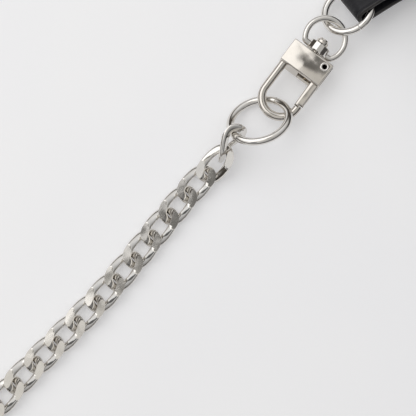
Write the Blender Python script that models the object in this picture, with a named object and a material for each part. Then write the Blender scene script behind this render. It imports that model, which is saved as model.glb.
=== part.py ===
"""Chain wallet: a long leather biker wallet on a curb wallet chain.

Frame: the origin is the centre of the wallet's flat bottom face, X runs along the wallet's
long side and +Z is up.  The chain leaves a leather tab at the wallet's -X end, lies on the
same surface as the wallet, and ends in a second clasp for a belt loop.  Every length below
is in millimetres and every angle in degrees; MM turns a length into Blender's metres.
"""

import math

import bmesh
import bpy
from mathutils import Matrix, Vector

MM = 0.001
GAP = 0.3  # between pieces that touch

# wallet shell
WALLET_LENGTH = 180.0
WALLET_WIDTH = 92.0
LEATHER = 1.6
BACK_THICKNESS = 1.8
CLOSED_HEIGHT = 16.6
CORNER_RADIUS = 9.0
LINING = 0.8
LINING_INSET = 3.0
TAPE = 0.6

# bill pocket and card slots, stacked on the back panel
POCKET_FLOOR = 0.7
POCKET_HEIGHT = 6.3
POCKET_HOLLOW = 4.4
POCKET_WALL = 1.4
POCKET_INSET = 4.0
POCKET_MOUTH = 2.0  # from the wallet's open edge
NOTCH_ROOM = 1.0  # round the tab's tail
CARD_SLOTS = 3
CARD_THICKNESS = 1.0
CARD_LENGTH = 168.0
CARD_BOTTOM_Y = -29.0
CARD_TOP_Y = 30.0
CARD_STEP = 13.0

# snap fasteners
SNAP_X = 60.0
SNAP_Y = -37.0
SNAP_CAP_RADIUS = 6.25
SNAP_CAP_HEIGHT = 1.6
SNAP_STEPS = 16
CAP_HOLE = 1.7  # through the cover, its lining and the pocket's top leather
SNAP_SHANK = 1.35
STUD_RADIUS = 2.85
SOCKET_RADIUS = 5.5

# zip in the front cover
ZIP_Y = 8.0
ZIP_SLOT_LENGTH = 140.0
ZIP_SLOT_WIDTH = 9.0
ZIP_TRAVEL = 116.0
TAPE_LENGTH = 152.0
TAPE_WIDTH = 24.0
TEETH_WIDTH = 4.4
SLIDER_HALF = (4.5, 3.8)
PULL_LENGTH = 21.0
PULL_WIDTH = 4.6

# chain tab
TAB_WIDTH = 11.2
TAB_LEATHER = 1.4
TAB_REACH = 26.0
TAB_TAIL = 17.0
TAB_Y = 25.0

# rings, clasp and chain
WALLET_RING = (7.6, 1.2)  # radius to the wire's centre, wire radius
JUMP_RING = (9.25, 1.25)
SWIVEL_RING = (6.5, 1.0)
SWIVEL_RING_CENTRE = 9.5  # from the clasp body's centre
SWIVEL_FLAT = 5.35
BODY_SIZE = (7.8, 14.8, 4.6)  # along the clasp, across it, thick
BODY_SLOPE = 1.4  # how far the side toward the hook slopes out below its top edge
HOOK_LEG = 5.95
HOOK_WIRE = 1.36
HOOK_BEND_X = -13.68
GATE_TIP_X = -12.4
PIVOT = (1.9, -5.3)
KNUCKLE = 1.45  # radius of the gate round its pin
GATE_SIDES = (-7.4, -4.55)
CAVITY_HALF = 1.45  # half the height of the body's slot for the gate
GATE_HALF = 1.15  # half the gate's thickness
PIN_BORE = 1.2  # through the body; the pin is hollow
PIN_RADIUS = 1.06
POST_BORE = 1.15
POST_RADIUS = 1.0
SPRING_COIL = (1.32, 0.13)  # radius to the wire's centre, wire radius
SPRING_TURNS = 2.0
BOSS_RADIUS = 3.5
BOSS_ENDS = (4.2, 7.2)
BOSS_CHAMFER = 0.25
LINK_HALF_LENGTH = 5.85
LINK_HALF_WIDTH = 3.2
LINK_ROUNDNESS = 2.4
LINK_TWIST = 0.13
LINK_WIRE = (2.6, 1.75)  # across the wire, through it
LINK_FLAT = 1.62  # half the pressed thickness
PITCH = 8.8

# where the chain lies: the wallet ring hangs in the tab's fold, the wallet-end clasp on that ring
FOLD = Vector((-WALLET_LENGTH / 2 - TAB_REACH, TAB_Y, 0.0))
RING_CENTRE = FOLD + Vector((-0.45, 0.0, 6.6))
RING_TILT = 26.8
RING_PITCH = 9.3
TAB_LOOP_GAP = 2.4  # from the loop's middle to each leather layer's middle

FLAT_LINKS = 20
STRAIGHT_LINKS = 12
FIRST_FLAT = (-68.9, -21.6)  # the first flat link's centre, from the fold
FIRST_HEADING = 197.0  # the chain's direction there, away from the wallet
SWAY = 3.4  # the straight stretch's slight S, in degrees from its mean direction
SWAY_LINKS = 10.0  # links to a full S
CURL = 13.0  # turn from link to link past the straight stretch
CHAIN_REST_Z = 2.1  # the middle of a link that lies flat

# Each end of the chain, seen from the floor under its last flat link, x towards the clasp.
# A place is (x, y, z, heading, climb, roll): turns about Z, then Y, then X.
CLIMBING_LINK = (8.45, -0.6, 3.74, -1.0, 19.9, 0.0)
EDGE_LINK = (15.97, 0.48, 6.36, 8.6, 33.8, 71.0)
JUMP_RING_PLACE = (27.2, -1.83, 7.13, -26.5, 0.0, -38.6)
WALLET_CLASP = (50.9, -0.75, 5.76, 4.8, 3.4, 0.0)
WALLET_SWIVEL_ROLL = 14.9
BELT_CLASP = (48.7, -3.25, 4.1, 170.0, 7.9, 0.0)
BELT_SWIVEL_ROLL = -40.0


# ---------------------------------------------------------------- helpers


def turn(axis, degrees):
    return Matrix.Rotation(math.radians(degrees), 4, axis)


def move(x, y, z):
    return Matrix.Translation((x, y, z))


def smooth(value, low, high):
    """0 below low, 1 above high, with an even slope at both ends."""
    t = min(max((value - low) / (high - low), 0.0), 1.0)
    return t * t * (3.0 - 2.0 * t)


def material(name, colour, roughness, metallic=0.0):
    made = bpy.data.materials.get(name)
    if made:
        return made
    made = bpy.data.materials.new(name)
    made.use_nodes = True
    shader = made.node_tree.nodes["Principled BSDF"]
    shader.inputs["Base Color"].default_value = (*colour, 1.0)
    shader.inputs["Roughness"].default_value = roughness
    shader.inputs["Metallic"].default_value = metallic
    return made


def nickel():
    return material("nickel", (0.72, 0.70, 0.67), 0.16, 1.0)


def spring_steel():
    return material("spring_steel", (0.45, 0.45, 0.46), 0.3, 1.0)


def black_leather():
    return material("black_leather", (0.030, 0.030, 0.034), 0.42)


def lining_cloth():
    return material("lining_cloth", (0.022, 0.022, 0.026), 0.85)


def zip_tape_cloth():
    return material("zip_tape_cloth", (0.018, 0.018, 0.020), 0.8)


def finish(name, bm, look, frame=None, axis_point=(0.0, 0.0, 0.0), smooth_angle=40.0):
    """One closed solid from bm, in millimetres in its frame, with its origin at axis_point."""
    bmesh.ops.recalc_face_normals(bm, faces=bm.faces)
    bmesh.ops.transform(bm, matrix=move(*[-v for v in axis_point]), verts=bm.verts)
    bmesh.ops.scale(bm, vec=(MM, MM, MM), verts=bm.verts)
    mesh = bpy.data.meshes.new(name)
    bm.to_mesh(mesh)
    bm.free()
    mesh.shade_smooth()
    mesh.set_sharp_from_angle(angle=math.radians(smooth_angle))
    piece = bpy.data.objects.new(name, mesh)
    bpy.context.collection.objects.link(piece)
    place = (frame or Matrix()) @ move(*axis_point)
    place.translation *= MM
    piece.matrix_world = place
    if look:
        mesh.materials.append(look)
    return piece


def change(piece, others, operation):
    """Unions others into the piece, or cuts them out of it."""
    for other in others:
        modifier = piece.modifiers.new(other.name, "BOOLEAN")
        modifier.operation = operation
        modifier.object = other
        other.hide_render = True
        other.display_type = "WIRE"


def cut(piece, *others):
    change(piece, others, "DIFFERENCE")


def join(piece, *others):
    change(piece, others, "UNION")


def slab(outline, low, high):
    """A flat outline in X and Y carried from low to high."""
    bm = bmesh.new()
    face = bm.faces.new([bm.verts.new((x, y, low)) for x, y in outline])
    grown = bmesh.ops.extrude_face_region(bm, geom=[face])["geom"]
    tops = [v for v in grown if isinstance(v, bmesh.types.BMVert)]
    bmesh.ops.translate(bm, vec=(0.0, 0.0, high - low), verts=tops)
    return bm


def block(low, high):
    bm = bmesh.new()
    size = [h - l for l, h in zip(low, high)]
    middle = [(h + l) / 2 for l, h in zip(low, high)]
    bmesh.ops.create_cube(bm, size=1.0, matrix=move(*middle) @ Matrix.Diagonal((*size, 1.0)))
    return bm


def rounded(x_low, x_high, y_low, y_high, radii, steps=5):
    """A rectangle's outline with radii at its corners, from -X -Y round to -X +Y."""
    corners = ((x_low, y_low, 180), (x_high, y_low, 270), (x_high, y_high, 0), (x_low, y_high, 90))
    outline = []
    for (x, y, start), radius in zip(corners, radii):
        cx = x + radius if x == x_low else x - radius
        cy = y + radius if y == y_low else y - radius
        if not radius:
            outline.append((x, y))
            continue
        for i in range(steps + 1):
            a = math.radians(start + 90 * i / steps)
            outline.append((cx + radius * math.cos(a), cy + radius * math.sin(a)))
    return outline


def turned(profile, steps=SNAP_STEPS, closed=False):
    """A solid of revolution about Z: profile is (radius, height), open ends on the axis."""
    bm = bmesh.new()
    verts = [bm.verts.new((r, 0.0, z)) for r, z in profile]
    edges = [bm.edges.new(pair) for pair in zip(verts, verts[1:])]
    if closed:
        edges.append(bm.edges.new((verts[-1], verts[0])))
    bmesh.ops.spin(
        bm, geom=verts + edges, cent=(0, 0, 0), axis=(0, 0, 1), angle=math.tau, steps=steps,
        use_merge=True,
    )
    bmesh.ops.remove_doubles(bm, verts=bm.verts, dist=1e-4)
    return bm


def rod(radius, low, high, steps=12):
    """A round rod along Z."""
    return turned([(0.0, low), (radius, low), (radius, high), (0.0, high)], steps)


def torus(size, around=28, sides=8):
    """A closed wire ring in the XY plane."""
    radius, wire = size
    turns = [math.tau * (i + 0.5) / sides for i in range(sides)]
    return turned([(radius + wire * math.cos(a), wire * math.sin(a)) for a in turns], around, True)


def sweep(path, ups, sections, closed):
    """Carries a section, (across, up) points for each path point, along a path."""
    bm = bmesh.new()
    rings = []
    count = len(path)
    for i, (point, up, section) in enumerate(zip(path, ups, sections)):
        before = path[i - 1] if closed or i else point
        after = path[(i + 1) % count] if closed or i < count - 1 else point
        ahead = (after - before).normalized()
        across = ahead.cross(up).normalized()
        over = across.cross(ahead)
        rings.append([bm.verts.new(point + across * a + over * u) for a, u in section])
    pairs = list(zip(rings, rings[1:]))
    if closed:
        pairs.append((rings[-1], rings[0]))
    for low, high in pairs:
        for j in range(len(low)):
            k = (j + 1) % len(low)
            bm.faces.new((low[j], low[k], high[k], high[j]))
    if not closed:
        bm.faces.new(rings[0])
        bm.faces.new(rings[-1][::-1])
    return bm


def circle_section(radius, sides=8):
    turns = [math.tau * (i + 0.5) / sides for i in range(sides)]
    return [(radius * math.cos(a), radius * math.sin(a)) for a in turns]


def tube(path, radius, closed=False, up=(0.0, 0.0, 1.0), sides=8):
    count = len(path)
    return sweep(path, [Vector(up)] * count, [circle_section(radius, sides)] * count, closed)


# ---------------------------------------------------------------- wallet


INNER_WIDTH = WALLET_WIDTH / 2 - LEATHER - GAP  # where the flat leather stops short of the spine
SPINE_CLEARANCE = 0.7  # what lies inside the wallet stops this much earlier still
HALF_LENGTH = WALLET_LENGTH / 2
POCKET_LOW = BACK_THICKNESS + GAP
POCKET_HIGH = POCKET_LOW + POCKET_HEIGHT
HOLLOW_LOW = POCKET_LOW + POCKET_FLOOR
HOLLOW_HIGH = HOLLOW_LOW + POCKET_HOLLOW
COVER_LOW = CLOSED_HEIGHT - LEATHER
TAPE_HIGH = COVER_LOW - GAP
TAPE_LOW = TAPE_HIGH - TAPE
LINING_HIGH = TAPE_LOW - GAP
LINING_LOW = LINING_HIGH - LINING


def shell_outline(inset=0.0):
    """The wallet's flat leather: round corners at the open edge, square ones at the spine."""
    radius = CORNER_RADIUS - inset
    return rounded(
        -HALF_LENGTH + inset, HALF_LENGTH - inset, -WALLET_WIDTH / 2 + inset, INNER_WIDTH,
        (radius, radius, 0.0, 0.0),
    )


def snap_places():
    return (("left", -SNAP_X), ("right", SNAP_X))


def make_shell():
    finish("back_panel", slab(shell_outline(), 0.0, BACK_THICKNESS), black_leather())
    outer = WALLET_WIDTH / 2
    spine = block((-HALF_LENGTH, outer - LEATHER, 0.0), (HALF_LENGTH, outer, CLOSED_HEIGHT))
    finish("spine", spine, black_leather(), axis_point=(0.0, outer, 0.0))
    edge = (0.0, outer, CLOSED_HEIGHT)
    cover = finish("front_cover", slab(shell_outline(), COVER_LOW, CLOSED_HEIGHT),
                   black_leather(), axis_point=edge)
    half_slot = ZIP_SLOT_WIDTH / 2
    slot = rounded(-ZIP_SLOT_LENGTH / 2, ZIP_SLOT_LENGTH / 2, ZIP_Y - half_slot, ZIP_Y + half_slot,
                   (2.0,) * 4, 3)
    cut(cover, finish("zip_slot_cutter", slab(slot, COVER_LOW - 1, CLOSED_HEIGHT + 1), None))

    inset, radius = LINING_INSET, CORNER_RADIUS - LINING_INSET
    outline = rounded(-HALF_LENGTH + inset, HALF_LENGTH - inset, -WALLET_WIDTH / 2 + inset,
                      INNER_WIDTH - SPINE_CLEARANCE, (radius, radius, 0.0, 0.0))
    lining = finish("cover_lining", slab(outline, LINING_LOW, LINING_HIGH), lining_cloth(),
                    axis_point=edge)
    for side, x in snap_places():
        hole = finish(f"cap_hole_cutter_{side}", rod(CAP_HOLE, LINING_LOW - 1, CLOSED_HEIGHT + 1), None,
                      move(x, SNAP_Y, 0.0))
        cut(cover, hole)
        cut(lining, hole)


def pocket_outline(inset):
    """The bill pocket seen from above, with a notch at -X that takes the tab's tail.

    An inset outline is the hollow's: it runs out through the pocket's open side at -Y.
    """
    x = HALF_LENGTH - POCKET_INSET - inset
    low = -WALLET_WIDTH / 2 + POCKET_MOUTH - (3.0 if inset else 0.0)
    high = INNER_WIDTH - SPINE_CLEARANCE - inset
    room = NOTCH_ROOM + inset
    notch_x = -HALF_LENGTH + TAB_TAIL + room
    notch_low = TAB_Y - TAB_WIDTH / 2 - room
    notch_high = TAB_Y + TAB_WIDTH / 2 + room
    return [(-x, low), (x, low), (x, high), (-x, high),
            (-x, notch_high), (notch_x, notch_high), (notch_x, notch_low), (-x, notch_low)]


def make_pockets():
    pocket = finish("bill_pocket", slab(pocket_outline(0.0), POCKET_LOW, POCKET_HIGH),
                    black_leather())
    hollow = finish("bill_hollow_cutter", slab(pocket_outline(POCKET_WALL), HOLLOW_LOW, HOLLOW_HIGH),
                    None)
    cut(pocket, hollow)
    for side, x in snap_places():
        seat = [(0.0, HOLLOW_HIGH - 1), (3.8, HOLLOW_HIGH - 1), (3.8, HOLLOW_HIGH + 0.6),
                (CAP_HOLE, HOLLOW_HIGH + 0.6), (CAP_HOLE, POCKET_HIGH + 1), (0.0, POCKET_HIGH + 1)]
        cut(pocket, finish(f"post_seat_cutter_{side}", turned(seat), None, move(x, SNAP_Y, 0.0)))
    for i in range(CARD_SLOTS):
        low = POCKET_HIGH + GAP + i * (CARD_THICKNESS + GAP)
        top = CARD_TOP_Y - i * CARD_STEP
        outline = rounded(-CARD_LENGTH / 2, CARD_LENGTH / 2, CARD_BOTTOM_Y, top, (0, 0, 2.5, 2.5), 3)
        finish(f"card_slot_{i + 1}", slab(outline, low, low + CARD_THICKNESS), black_leather())


def make_snaps():
    """Cap and socket on the cover, stud and post on the bill pocket's top leather."""
    edge_y = WALLET_WIDTH / 2 - SNAP_Y
    for side, x in snap_places():
        here = move(x, SNAP_Y, 0.0)
        on_cover = (0.0, edge_y, CLOSED_HEIGHT)
        top = CLOSED_HEIGHT + GAP
        socket_top = LINING_LOW - GAP
        high = top + SNAP_CAP_HEIGHT
        cap = [(0.0, socket_top - 0.4), (SNAP_SHANK, socket_top - 0.4), (SNAP_SHANK, top),
               (SNAP_CAP_RADIUS - 0.3, top), (SNAP_CAP_RADIUS, top + 0.5),
               (SNAP_CAP_RADIUS - 1.2, high - 0.5), (3.0, high - 0.1), (0.0, high)]
        finish(f"snap_cap_{side}", turned(cap), nickel(), here, on_cover)
        low = POCKET_HIGH + 1.35
        socket = [(1.75, socket_top), (1.75, socket_top - 0.7), (3.3, socket_top - 0.9), (3.3, low),
                  (4.6, low), (4.8, socket_top - 0.7), (SOCKET_RADIUS, socket_top - 0.6),
                  (SOCKET_RADIUS, socket_top)]
        finish(f"snap_socket_{side}", turned(socket, closed=True), nickel(), here, on_cover)
        base = POCKET_HIGH + GAP
        stud = [(1.7, base), (5.0, base), (5.0, base + 0.5), (2.6, base + 0.8), (2.5, base + 1.8),
                (STUD_RADIUS, base + 2.4), (2.3, base + 3.0), (0.0, base + 3.2), (0.0, base + 2.4),
                (1.7, base + 2.2)]
        finish(f"snap_stud_{side}", closed_with_pole(stud), nickel(), here)
        seat = HOLLOW_HIGH
        post = [(0.0, seat + 0.05), (3.5, seat + 0.05), (3.5, seat + 0.3), (SNAP_SHANK, seat + 0.4),
                (SNAP_SHANK, base + 1.9), (0.0, base + 1.9)]
        finish(f"snap_post_{side}", turned(post), nickel(), here)


def closed_with_pole(profile):
    """A cup-shaped solid: its profile runs from the mouth's edge up to the axis and back."""
    on_axis = [i for i, (r, _) in enumerate(profile) if r == 0.0]
    return turned(profile[on_axis[-1]:] + profile[: on_axis[0] + 1])


def make_zip():
    edge = (0.0, WALLET_WIDTH / 2, CLOSED_HEIGHT)
    half = TAPE_LENGTH / 2
    tape = finish("zip_tape", block((-half, ZIP_Y - TAPE_WIDTH / 2, TAPE_LOW),
                                    (half, ZIP_Y + TAPE_WIDTH / 2, TAPE_HIGH)),
                  zip_tape_cloth(), axis_point=edge)
    teeth_half = ZIP_SLOT_LENGTH / 2 - 0.6
    teeth = finish("zip_teeth_block", block((-teeth_half, ZIP_Y - TEETH_WIDTH / 2, TAPE_LOW + 0.2),
                                            (teeth_half, ZIP_Y + TEETH_WIDTH / 2, TAPE_HIGH + 1.2)),
                   None)
    join(tape, teeth)

    rest = (-ZIP_TRAVEL / 2, ZIP_Y, TAPE_HIGH + 1.5)
    here = move(*rest)
    x, y = SLIDER_HALF
    slider = finish("zip_slider", block((-x, -y, -1.25), (x, y, 1.0)), nickel(), here)
    cut(slider, finish("slider_tunnel_cutter", block((-6, -2.5, -2), (6, 2.5, 0.0)), None, here))
    crown = finish("slider_crown", block((-2.5, -0.8, 0.8), (2.5, 0.8, 2.8)), None, here)
    join(slider, crown)
    cut(slider, finish("crown_eye_cutter", block((-1.5, -2, 1.05), (1.5, 2, 2.2)), None, here))

    half = PULL_WIDTH / 2
    pull_outline = rounded(-0.3, PULL_LENGTH, -half, half, (0.0, 2.0, 2.0, 0.0), 3)
    pull = finish("zip_pull", slab(pull_outline, 1.3, 1.9), nickel(), here, (0.0, 0.0, 1.6))
    cut(pull, finish("pull_eye_cutter", block((0.3, -1.5, 0), (4.2, 1.5, 3)), None, here))


# ---------------------------------------------------------------- chain tab and rings


TAB_FLAT_Z = BACK_THICKNESS + GAP + TAB_LEATHER + GAP / 2


def tab_frame(x):
    """Centre, across and up of the tab at x: flat at the wallet, in the ring's plane at the fold."""
    share = 1.0 - smooth(x, FOLD.x + 9.0, -HALF_LENGTH - 1.0)
    plane_z = RING_CENTRE.z + (x - RING_CENTRE.x) * math.tan(math.radians(RING_PITCH))
    tilt = math.radians(RING_TILT * share)
    centre = Vector((x, TAB_Y, TAB_FLAT_Z + (plane_z - TAB_FLAT_Z) * share))
    across = Vector((0.0, math.cos(tilt), -math.sin(tilt)))
    return centre, across, Vector((0.0, math.sin(tilt), math.cos(tilt)))


def tab_path(steps=12, bend_steps=6):
    """(x, distance from the middle layer) along the leather's middle, tail to fold to tail."""
    flat_gap = (TAB_LEATHER + GAP) / 2
    tail_x = -HALF_LENGTH + TAB_TAIL
    bend_x = FOLD.x + TAB_LEATHER / 2 + TAB_LOOP_GAP
    upper = []
    for i in range(steps + 1):
        x = tail_x + (bend_x - tail_x) * i / steps
        share = 1.0 - smooth(x, FOLD.x + 9.0, -HALF_LENGTH - 1.0)
        upper.append((x, flat_gap + (TAB_LOOP_GAP - flat_gap) * share))
    bend = [(bend_x - TAB_LOOP_GAP * math.sin(a), TAB_LOOP_GAP * math.cos(a))
            for a in (math.pi * (i + 1) / (bend_steps + 1) for i in range(bend_steps))]
    return upper + bend + [(x, -w) for x, w in reversed(upper)]


def offset_path(path, distance):
    """The path's points moved sideways by distance."""
    moved = []
    for i, (x, w) in enumerate(path):
        before = path[max(i - 1, 0)]
        after = path[min(i + 1, len(path) - 1)]
        ahead = Vector((after[0] - before[0], after[1] - before[1])).normalized()
        moved.append((x - ahead.y * distance, w + ahead.x * distance))
    return moved


def make_tab():
    path = tab_path()
    outer = offset_path(path, -TAB_LEATHER / 2)
    inner = offset_path(path, TAB_LEATHER / 2)
    outline = outer + inner[::-1]
    bm = bmesh.new()
    rows = []
    for side in (-0.5, 0.0, 0.5):
        row = []
        for x, w in outline:
            centre, across, up = tab_frame(x)
            row.append(bm.verts.new(centre + across * TAB_WIDTH * side + up * w))
        rows.append(row)
    count = len(outline)
    for low, high in zip(rows, rows[1:]):
        for i in range(count):
            k = (i + 1) % count
            bm.faces.new((low[i], low[k], high[k], high[i]))
    for row in (rows[0], rows[-1]):
        for i in range(len(path) - 1):
            bm.faces.new((row[i], row[i + 1], row[count - 2 - i], row[count - 1 - i]))
    finish("chain_tab", bm, black_leather())


def make_wallet_ring():
    frame = move(*RING_CENTRE) @ turn("X", -RING_TILT) @ turn("Y", -RING_PITCH)
    finish("wallet_ring", torus(WALLET_RING), nickel(), frame, (WALLET_RING[0], 0.0, 0.0))


# ---------------------------------------------------------------- clasp


def clasp_hook_path(steps=12):
    leg = HOOK_LEG
    path = [Vector((-2.0, leg, 0.0)), Vector((-7.0, leg, 0.0))]
    for i in range(steps + 1):
        a = math.pi * i / steps
        path.append(Vector((HOOK_BEND_X - leg * math.sin(a), leg * math.cos(a), 0.0)))
    path.append(Vector((GATE_TIP_X - GAP, -leg, 0.0)))
    return path


def make_clasp(tag, frame):
    """A swivel snap clasp: x runs from the hook to the swivel ring, z is through its face."""
    length, width, thick = BODY_SIZE
    px, py = PIVOT
    side = [(-length / 2, thick / 2), (-length / 2 - BODY_SLOPE, -thick / 4),
            (-length / 2 - BODY_SLOPE, -thick / 2), (length / 2, -thick / 2), (length / 2, thick / 2)]
    casting = slab(side, -width / 2, width / 2)
    bmesh.ops.transform(casting, matrix=turn("X", 90), verts=casting.verts)
    body = finish(f"clasp_body_{tag}", casting, nickel(), frame)
    bevel = body.modifiers.new("edges", "BEVEL")
    bevel.width = 0.5 * MM
    bevel.segments = 1
    hook = finish(f"hook_rod_{tag}", tube(clasp_hook_path(), HOOK_WIRE), None, frame)
    join(body, hook)
    at_pin = frame @ move(px, py, 0.0)
    low, high = -CAVITY_HALF, CAVITY_HALF
    cavity = finish(f"gate_cavity_{tag}", block((-6.0, -9.0, low), (0.6, 0.3, high)), None, frame)
    room = block((0.0, -9.0, low), (px + KNUCKLE + GAP / 2, py + KNUCKLE + GAP / 2, high))
    knuckle_room = finish(f"knuckle_room_{tag}", room, None, frame)
    pin_hole = finish(f"pin_hole_{tag}", rod(PIN_BORE, -thick, thick), None, at_pin)
    post_hole = finish(f"post_hole_{tag}", rod(POST_BORE, 1.6, 5.0), None, frame @ turn("Y", 90))
    cut(body, cavity, knuckle_room, pin_hole, post_hole)

    outer, inner = GATE_SIDES
    gate_outline = [(GATE_TIP_X, outer), (GATE_TIP_X, inner), (px - 1.2, inner + 0.3)]
    turns = [math.radians(60 - 150 * i / 5) for i in range(6)]
    gate_outline += [(px + KNUCKLE * math.cos(a), py + KNUCKLE * math.sin(a)) for a in turns]
    gate_outline.append((-length / 2, outer))
    gate = finish(f"clasp_gate_{tag}", slab(gate_outline, -GATE_HALF, GATE_HALF), nickel(), frame,
                  (px, py, 0.0))
    spring_seat = finish(f"spring_seat_{tag}", rod(KNUCKLE + 0.1, 0.25, 2.0, 16), None, at_pin)
    gate_hole = finish(f"gate_hole_{tag}", rod(PIN_RADIUS + 0.1, -thick, thick), None, at_pin)
    cut(gate, spring_seat, gate_hole)

    face = thick / 2
    pin = [(0.65, -face - 0.55), (1.4, -face - 0.55), (1.5, -face - 0.25), (PIN_RADIUS, -face - 0.1),
           (PIN_RADIUS, face + 0.1), (1.5, face + 0.25), (1.4, face + 0.55), (0.65, face + 0.55)]
    finish(f"gate_pin_{tag}", turned(pin, 12, True), nickel(), at_pin)

    coil_radius, coil_wire = SPRING_COIL
    coil, steps = [], 20
    for i in range(steps + 1):
        a = math.tau * SPRING_TURNS * i / steps
        coil.append(Vector((coil_radius * math.cos(a), coil_radius * math.sin(a), 0.5 + 0.7 * i / steps)))
    finish(f"gate_spring_{tag}", tube(coil, coil_wire, sides=5), spring_steel(), at_pin)

    rivet_base = BOSS_ENDS[1] + GAP
    post = [(0.0, 1.9), (POST_RADIUS, 1.9), (POST_RADIUS, rivet_base - 0.05), (2.05, rivet_base),
            (2.05, rivet_base + 0.9), (1.6, rivet_base + 1.6), (0.0, rivet_base + 1.85)]
    finish(f"swivel_post_{tag}", turned(post, 12), nickel(), frame @ turn("Y", 90))


def make_swivel_ring(tag, frame):
    """The clasp's D-shaped ring with its swivel boss, turned about the clasp's long axis."""
    radius, wire = SWIVEL_RING
    path = []
    for i in range(24):
        a = math.tau * (i + 0.5) / 24
        path.append(Vector((max(SWIVEL_RING_CENTRE + radius * math.cos(a), SWIVEL_FLAT),
                            radius * math.sin(a), 0.0)))
    ring = finish(f"swivel_ring_{tag}", tube(path, wire, True), nickel(), frame)
    low, high = BOSS_ENDS
    edge = BOSS_CHAMFER
    boss = [(0.0, low), (BOSS_RADIUS - edge, low), (BOSS_RADIUS, low + edge),
            (BOSS_RADIUS, high - edge), (BOSS_RADIUS - edge, high), (0.0, high)]
    join(ring, finish(f"swivel_boss_{tag}", turned(boss, 14), None, frame @ turn("Y", 90)))
    bore = finish(f"swivel_bore_{tag}", rod(POST_BORE, low - 1, high + 1), None, frame @ turn("Y", 90))
    cut(ring, bore)


# ---------------------------------------------------------------- chain


def curved(value, power):
    return math.copysign(abs(value) ** power, value)


def make_link(name, frame, around=20):
    """A curb link: an oval twisted so that it lies flat over and under its neighbours."""
    across, through = LINK_WIRE[0] / 2, LINK_WIRE[1] / 2
    section = [(across, 0.0), (across * 0.72, through), (-across * 0.72, through), (-across, 0.0),
               (-across * 0.72, -through), (across * 0.72, -through)]
    path, ups = [], []
    for i in range(around):
        a = math.tau * (i + 0.5) / around
        x = LINK_HALF_LENGTH * curved(math.cos(a), 2 / LINK_ROUNDNESS)
        y = LINK_HALF_WIDTH * curved(math.sin(a), 2 / LINK_ROUNDNESS)
        path.append(Vector((x, y, -LINK_TWIST * x * y)))
        ups.append(Vector((LINK_TWIST * y, LINK_TWIST * x, 1.0)))
    bm = sweep(path, ups, [section] * around, True)
    for vert in bm.verts:
        vert.co.z = min(max(vert.co.z, -LINK_FLAT), LINK_FLAT)
    finish(name, bm, nickel(), frame, (PITCH / 2, 0.0, 0.0))


def placed(x, y, z, heading=0.0, climb=0.0, roll=0.0):
    return move(x, y, z) @ turn("Z", heading) @ turn("Y", -climb) @ turn("X", roll)


def flat_frames():
    """One frame for each flat link, x away from the wallet's clasp: straight, then curling."""
    frames = []
    place = FOLD + Vector((*FIRST_FLAT, CHAIN_REST_Z))
    half = Vector((PITCH / 2, 0.0, 0.0))
    for i in range(FLAT_LINKS):
        along = min(i, STRAIGHT_LINKS - 1)
        sway = SWAY * math.sin(math.tau * along / SWAY_LINKS)
        heading = FIRST_HEADING + sway + CURL * (i - along)
        if frames:
            place = place + turn("Z", heading) @ half
        frames.append(placed(*place, heading))
        place = place + turn("Z", heading) @ half
    return frames


def make_chain():
    flat = flat_frames()
    on_floor = move(0.0, 0.0, -CHAIN_REST_Z)
    wallet_end = flat[0] @ turn("Z", 180) @ on_floor
    belt_end = flat[-1] @ on_floor
    frames = [wallet_end @ placed(*EDGE_LINK) @ turn("Z", 180),
              wallet_end @ placed(*CLIMBING_LINK) @ turn("Z", 180),
              *flat,
              belt_end @ placed(*CLIMBING_LINK),
              belt_end @ placed(*EDGE_LINK)]
    for i, frame in enumerate(frames):
        make_link(f"link_{i + 1:02d}", frame)
    for tag, end, place, roll in (("a", wallet_end, WALLET_CLASP, WALLET_SWIVEL_ROLL),
                                  ("b", belt_end, BELT_CLASP, BELT_SWIVEL_ROLL)):
        finish(f"jump_ring_{tag}", torus(JUMP_RING, 32), nickel(), end @ placed(*JUMP_RING_PLACE))
        clasp = end @ placed(*place)
        make_clasp(tag, clasp)
        make_swivel_ring(tag, clasp @ turn("X", roll))


def main():
    for piece in list(bpy.data.objects):
        bpy.data.objects.remove(piece)
    make_shell()
    make_pockets()
    make_snaps()
    make_zip()
    make_tab()
    make_wallet_ring()
    make_chain()


main()
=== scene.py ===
"""Looks of the chain wallet: detailed leather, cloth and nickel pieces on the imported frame."""

import math

import bmesh
import bpy
from mathutils import Matrix, Vector, noise


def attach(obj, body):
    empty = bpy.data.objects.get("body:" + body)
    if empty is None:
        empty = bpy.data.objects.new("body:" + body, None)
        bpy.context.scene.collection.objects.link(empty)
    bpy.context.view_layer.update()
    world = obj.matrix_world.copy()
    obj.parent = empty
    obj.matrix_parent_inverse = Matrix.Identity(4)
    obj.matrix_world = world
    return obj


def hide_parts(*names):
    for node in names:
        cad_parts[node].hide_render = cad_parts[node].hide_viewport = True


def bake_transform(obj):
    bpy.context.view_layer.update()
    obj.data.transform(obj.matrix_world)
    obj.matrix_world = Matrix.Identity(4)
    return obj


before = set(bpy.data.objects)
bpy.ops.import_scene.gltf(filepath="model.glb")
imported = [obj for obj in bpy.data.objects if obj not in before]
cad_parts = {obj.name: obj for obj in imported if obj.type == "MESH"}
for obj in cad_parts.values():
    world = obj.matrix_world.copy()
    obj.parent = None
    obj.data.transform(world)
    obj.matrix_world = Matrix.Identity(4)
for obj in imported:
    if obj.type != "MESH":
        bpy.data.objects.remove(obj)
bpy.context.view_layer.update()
MM = 0.001
UP = Vector((0.0, 0.0, 1.0))

# ------------ dimensions, in millimetres

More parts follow.
